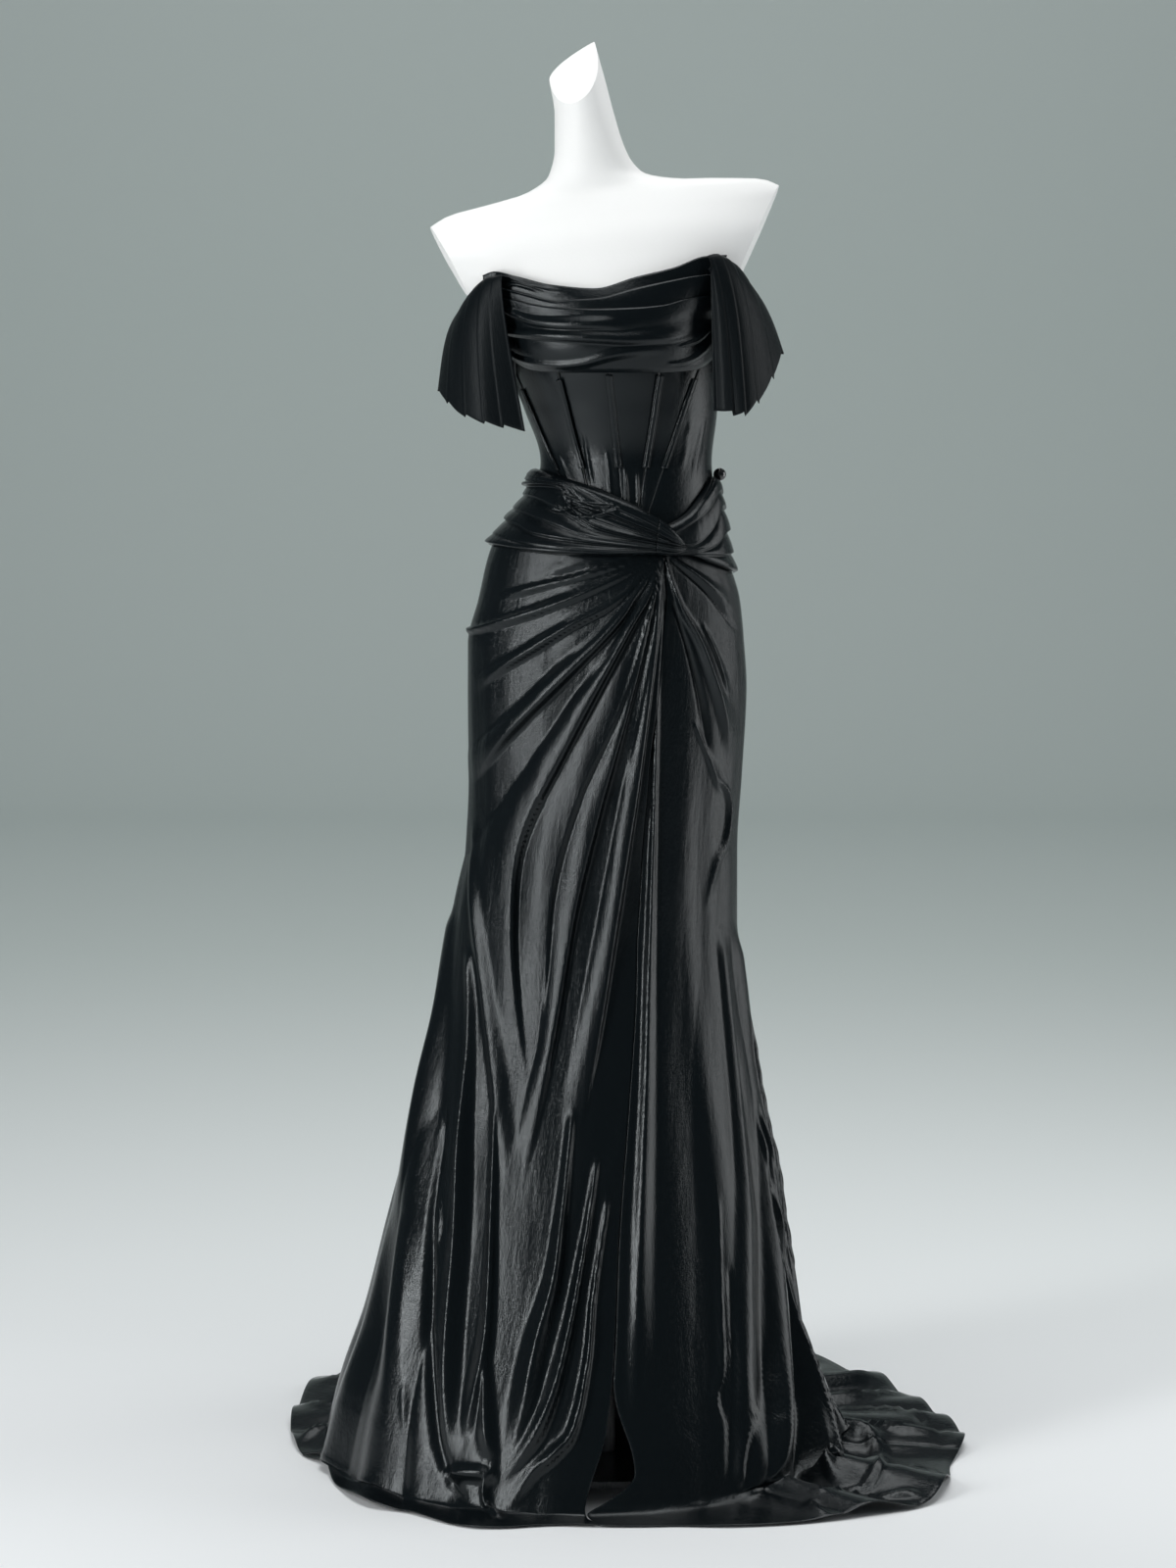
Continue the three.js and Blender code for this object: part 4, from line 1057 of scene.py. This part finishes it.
WRAP_CREASES = creases([
    (2.5, 3, 5, 0, 1.5, [(-52, 1112), (-33, 1098), (-14, 1097), (8, 1103), (26, 1110)]),
    (-2, 3, 4, 0, 1, [(-60, 1106), (-47, 1103), (-25, 1108), (-8, 1104), (0, 1112)]),
    (3, 3, 4, 0, 1.2, [(-40, 1122), (-20, 1112), (2, 1108), (14, 1112)]),
])
WRAP_HOLLOW = 4  # how far the middle of a full wrap sinks between its edges
WRAP_DROP = 3.5  # width of the sharp fall behind a crest
WRAP_FULL = 50  # width of a wrap at which its folds have their whole rise
WRAP_EDGE = 8  # width over which its edges curl in, and the most that they do
WRAP_CLEARANCE = 1.2  # what is left under a curled edge


def wrap_grid(rows, folds, angle, share):
    """Points of a wrap at angles and at shares of its width, 1 at its top edge."""
    width = read(rows, "top", angle) - read(rows, "low", angle)
    z = read(rows, "low", angle) + width * share
    top_out, low_out = read(rows, "top_out", angle), read(rows, "low_out", angle)
    out = CLOTH + SEAM + mix(low_out, top_out, share)
    out = out - WRAP_HOLLOW * np.sin(np.pi * share) * ease((top_out - 4) / 5)
    crests = []
    for _, path in folds:
        line = smooth_path(path)
        crests.append(-np.interp(angle, line[:, 0], line[:, 1]))
    swell = np.clip(width / WRAP_FULL, 0.35, 1.1)
    rise = overlap_folds(-z, crests, [height * swell for height, _ in folds], 1.0, WRAP_DROP)
    edge = np.clip(np.minimum(share, 1 - share) * width / WRAP_EDGE, 0, 1)
    curl = np.minimum(out - WRAP_CLEARANCE, WRAP_EDGE) * (1 - np.sqrt(edge * (2 - edge)))
    flat = gown_point(angle, z)
    rise = rise + relief(flat[..., 0], flat[..., 2], WRAP_CREASES)
    return gown_point(angle, z, out + rise - curl)


def waist_wrap(name, rows, folds, columns):
    """A band of folds that narrows towards the knot."""
    edges = rows["angle"]
    angle = np.linspace(edges[0], edges[-1], columns)[None, :]
    share = np.linspace(1, 0, 100)[:, None]
    grid = wrap_grid(rows, folds, angle, share)
    seat(shell(name + "_satin", grid, THIN_WALL), name, SATIN)


def build_waist():
    waist_wrap("waist_wrap_right", WRAP_RIGHT, WRAP_RIGHT_FOLDS, 220)
    waist_wrap("waist_wrap_left", WRAP_LEFT, WRAP_LEFT_FOLDS, 120)
    waist_wrap("knot", KNOT, WRAP_RIGHT_FOLDS, 60)


def side_button():
    """A polished ball in the place of the side button."""
    low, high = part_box("side_button")
    centre = (low + high) / 2
    bm = bmesh.new()
    bmesh.ops.create_uvsphere(bm, u_segments=40, v_segments=24, radius=(high.z - low.z) / 2 * 0.98)
    bmesh.ops.translate(bm, verts=bm.verts, vec=centre)
    mesh = bpy.data.meshes.new("side_button_ball")
    bm.to_mesh(mesh)
    bm.free()
    mesh.shade_smooth()
    seat(put("side_button_ball", mesh), "side_button", GLOSS)


# ---- Dress form

# Flat cuts of the arms and the neck: a point on each, and its direction out of the form.
CUTS = [
    ((-199, 0, 1424), (-0.87, -0.08, -0.47)),
    ((197, 0, 1468), (0.91, -0.08, -0.4)),
    ((-34, -22, 1590), (-0.5, -0.62, 0.6)),
]


def dress_form():
    """A smooth torso under the gown's own sections, cut off flat at the arms and the neck."""
    covered = SECTIONS["z"] > FORM_FOOT - 1
    start, blend = EASE_CHANGE
    inset = CLOTH + mix(SKIRT_EASE, EASE, ease((SECTIONS["z"] - start) / blend))
    rows = {}
    for name in SECTIONS:
        sign = {"left": 1, "front": 1, "right": -1, "back": -1}.get(name, 0)
        rows[name] = np.concatenate([(SECTIONS[name] + sign * inset)[covered], SHOULDERS[name]])
    z = np.linspace(FORM_TOP, FORM_FOOT, 260)[:, None]
    angle = np.linspace(0, 360, 193)[None, :-1]
    grid = ring_point(rows, angle, z)
    count = grid.shape[0] * grid.shape[1]
    index = np.arange(count).reshape(grid.shape[:2])
    after = np.roll(index, -1, axis=1)
    faces = np.stack([index[:-1], index[1:], after[1:], after[:-1]], axis=-1).reshape(-1, 4)
    obj = mesh_object("form_torso_shell", grid.reshape(-1, 3), faces)
    bm = bmesh.new()
    bm.from_mesh(obj.data)
    bmesh.ops.holes_fill(bm, edges=[e for e in bm.edges if e.is_boundary], sides=0)
    for point, normal in CUTS:
        whole = bm.verts[:] + bm.edges[:] + bm.faces[:]
        plane = {"plane_co": Vector(point) * MM, "plane_no": Vector(normal), "clear_outer": True}
        bmesh.ops.bisect_plane(bm, geom=whole, dist=1e-6, **plane)
        rim = [e for e in bm.edges if e.is_boundary]
        cap = bmesh.ops.holes_fill(bm, edges=rim, sides=0)["faces"]
        for edge in rim:
            edge.smooth = False
        for face in cap:
            face.smooth = False
    bm.to_mesh(obj.data)
    bm.free()
    seat(obj, "form_torso", FORM)


# ---- Stand, stage, lights and camera

def stand():
    for name in ("stand_base", "stand_pole"):
        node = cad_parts[name]
        node.data.materials.clear()
        node.data.materials.append(STEEL)


def backdrop():
    """A pale floor that curves up into a grey wall far behind."""
    half, front, back, bend, top = 9.0, -9.0, 9.6, 1.6, 7.0
    profile = [(front, 0.0), (back - bend, 0.0)]
    turns = [math.radians(a) for a in range(6, 91, 6)]
    profile += [(back - bend + bend * math.sin(t), bend - bend * math.cos(t)) for t in turns]
    profile += [(back, top)]
    points = [(x, y, z) for x in (-half, half) for y, z in profile]
    count = len(profile)
    faces = [(i, i + count, i + count + 1, i + 1) for i in range(count - 1)]
    mesh = bpy.data.meshes.new("backdrop")
    mesh.from_pydata(points, [], faces)
    mesh.shade_smooth()
    mesh.materials.append(studio_material())
    put("backdrop", mesh)


def softbox(name, place, aim, size, power):
    """A soft rectangular light at a place, turned to an aim. Its size is in metres and its power in watts."""
    light = bpy.data.lights.new(name, "AREA")
    light.shape = "RECTANGLE"
    light.size, light.size_y = size
    light.energy = power
    obj = put(name, light)
    obj.location = place
    obj.rotation_euler = (Vector(aim) - Vector(place)).to_track_quat("-Z", "Y").to_euler()


def lights():
    softbox("key_core", (-2.3, -2.05, 1.4), (0, 0, 0.95), (0.42, 2.4), 64)
    softbox("key", (-2.3, -2.1, 1.4), (0, 0, 0.95), (1.3, 2.6), 8)
    softbox("fill", (-2.0, -2.9, 1.5), (0, 0, 0.95), (3.4, 2.8), 2.4)
    softbox("right", (2.7, 0.15, 1.2), (0, 0, 0.9), (1.7, 2.4), 34)
    softbox("top", (0.4, -1.0, 4.4), (0, 0, 0.8), (2.4, 2.4), 74)
    softbox("floor", (0, 1.6, 4.4), (0, 1.6, 0), (4.0, 1.6), 60)
    softbox("wall", (0, 5.2, 5.4), (0, 9.4, 0.9), (9.0, 2.0), 80)
    world = bpy.data.worlds.new("studio")
    bpy.context.scene.world = world
    world.use_nodes = True
    background = world.node_tree.nodes["Background"]
    background.inputs["Color"].default_value = (0.52, 0.64, 0.7, 1)
    background.inputs["Strength"].default_value = 0.12


CAMERA_PLACE = (-0.0191, -4.7, 1.19)
CAMERA_DOWN = 4.893  # degrees that the camera looks down
FOCAL_LENGTH = 94.1
SENSOR_WIDTH = 36


def camera():
    data = bpy.data.cameras.new("camera")
    data.sensor_width = SENSOR_WIDTH
    data.lens = FOCAL_LENGTH
    obj = put("camera", data)
    obj.location = CAMERA_PLACE
    obj.rotation_euler = (math.radians(90 - CAMERA_DOWN), 0, 0)
    bpy.context.scene.camera = obj


camera()
dress_form()
stand()
build_skirt()
build_bodice()
build_cowl()
build_sleeves()
build_waist()
side_button()
backdrop()
lights()
bpy.context.scene.view_settings.view_transform = "Standard"
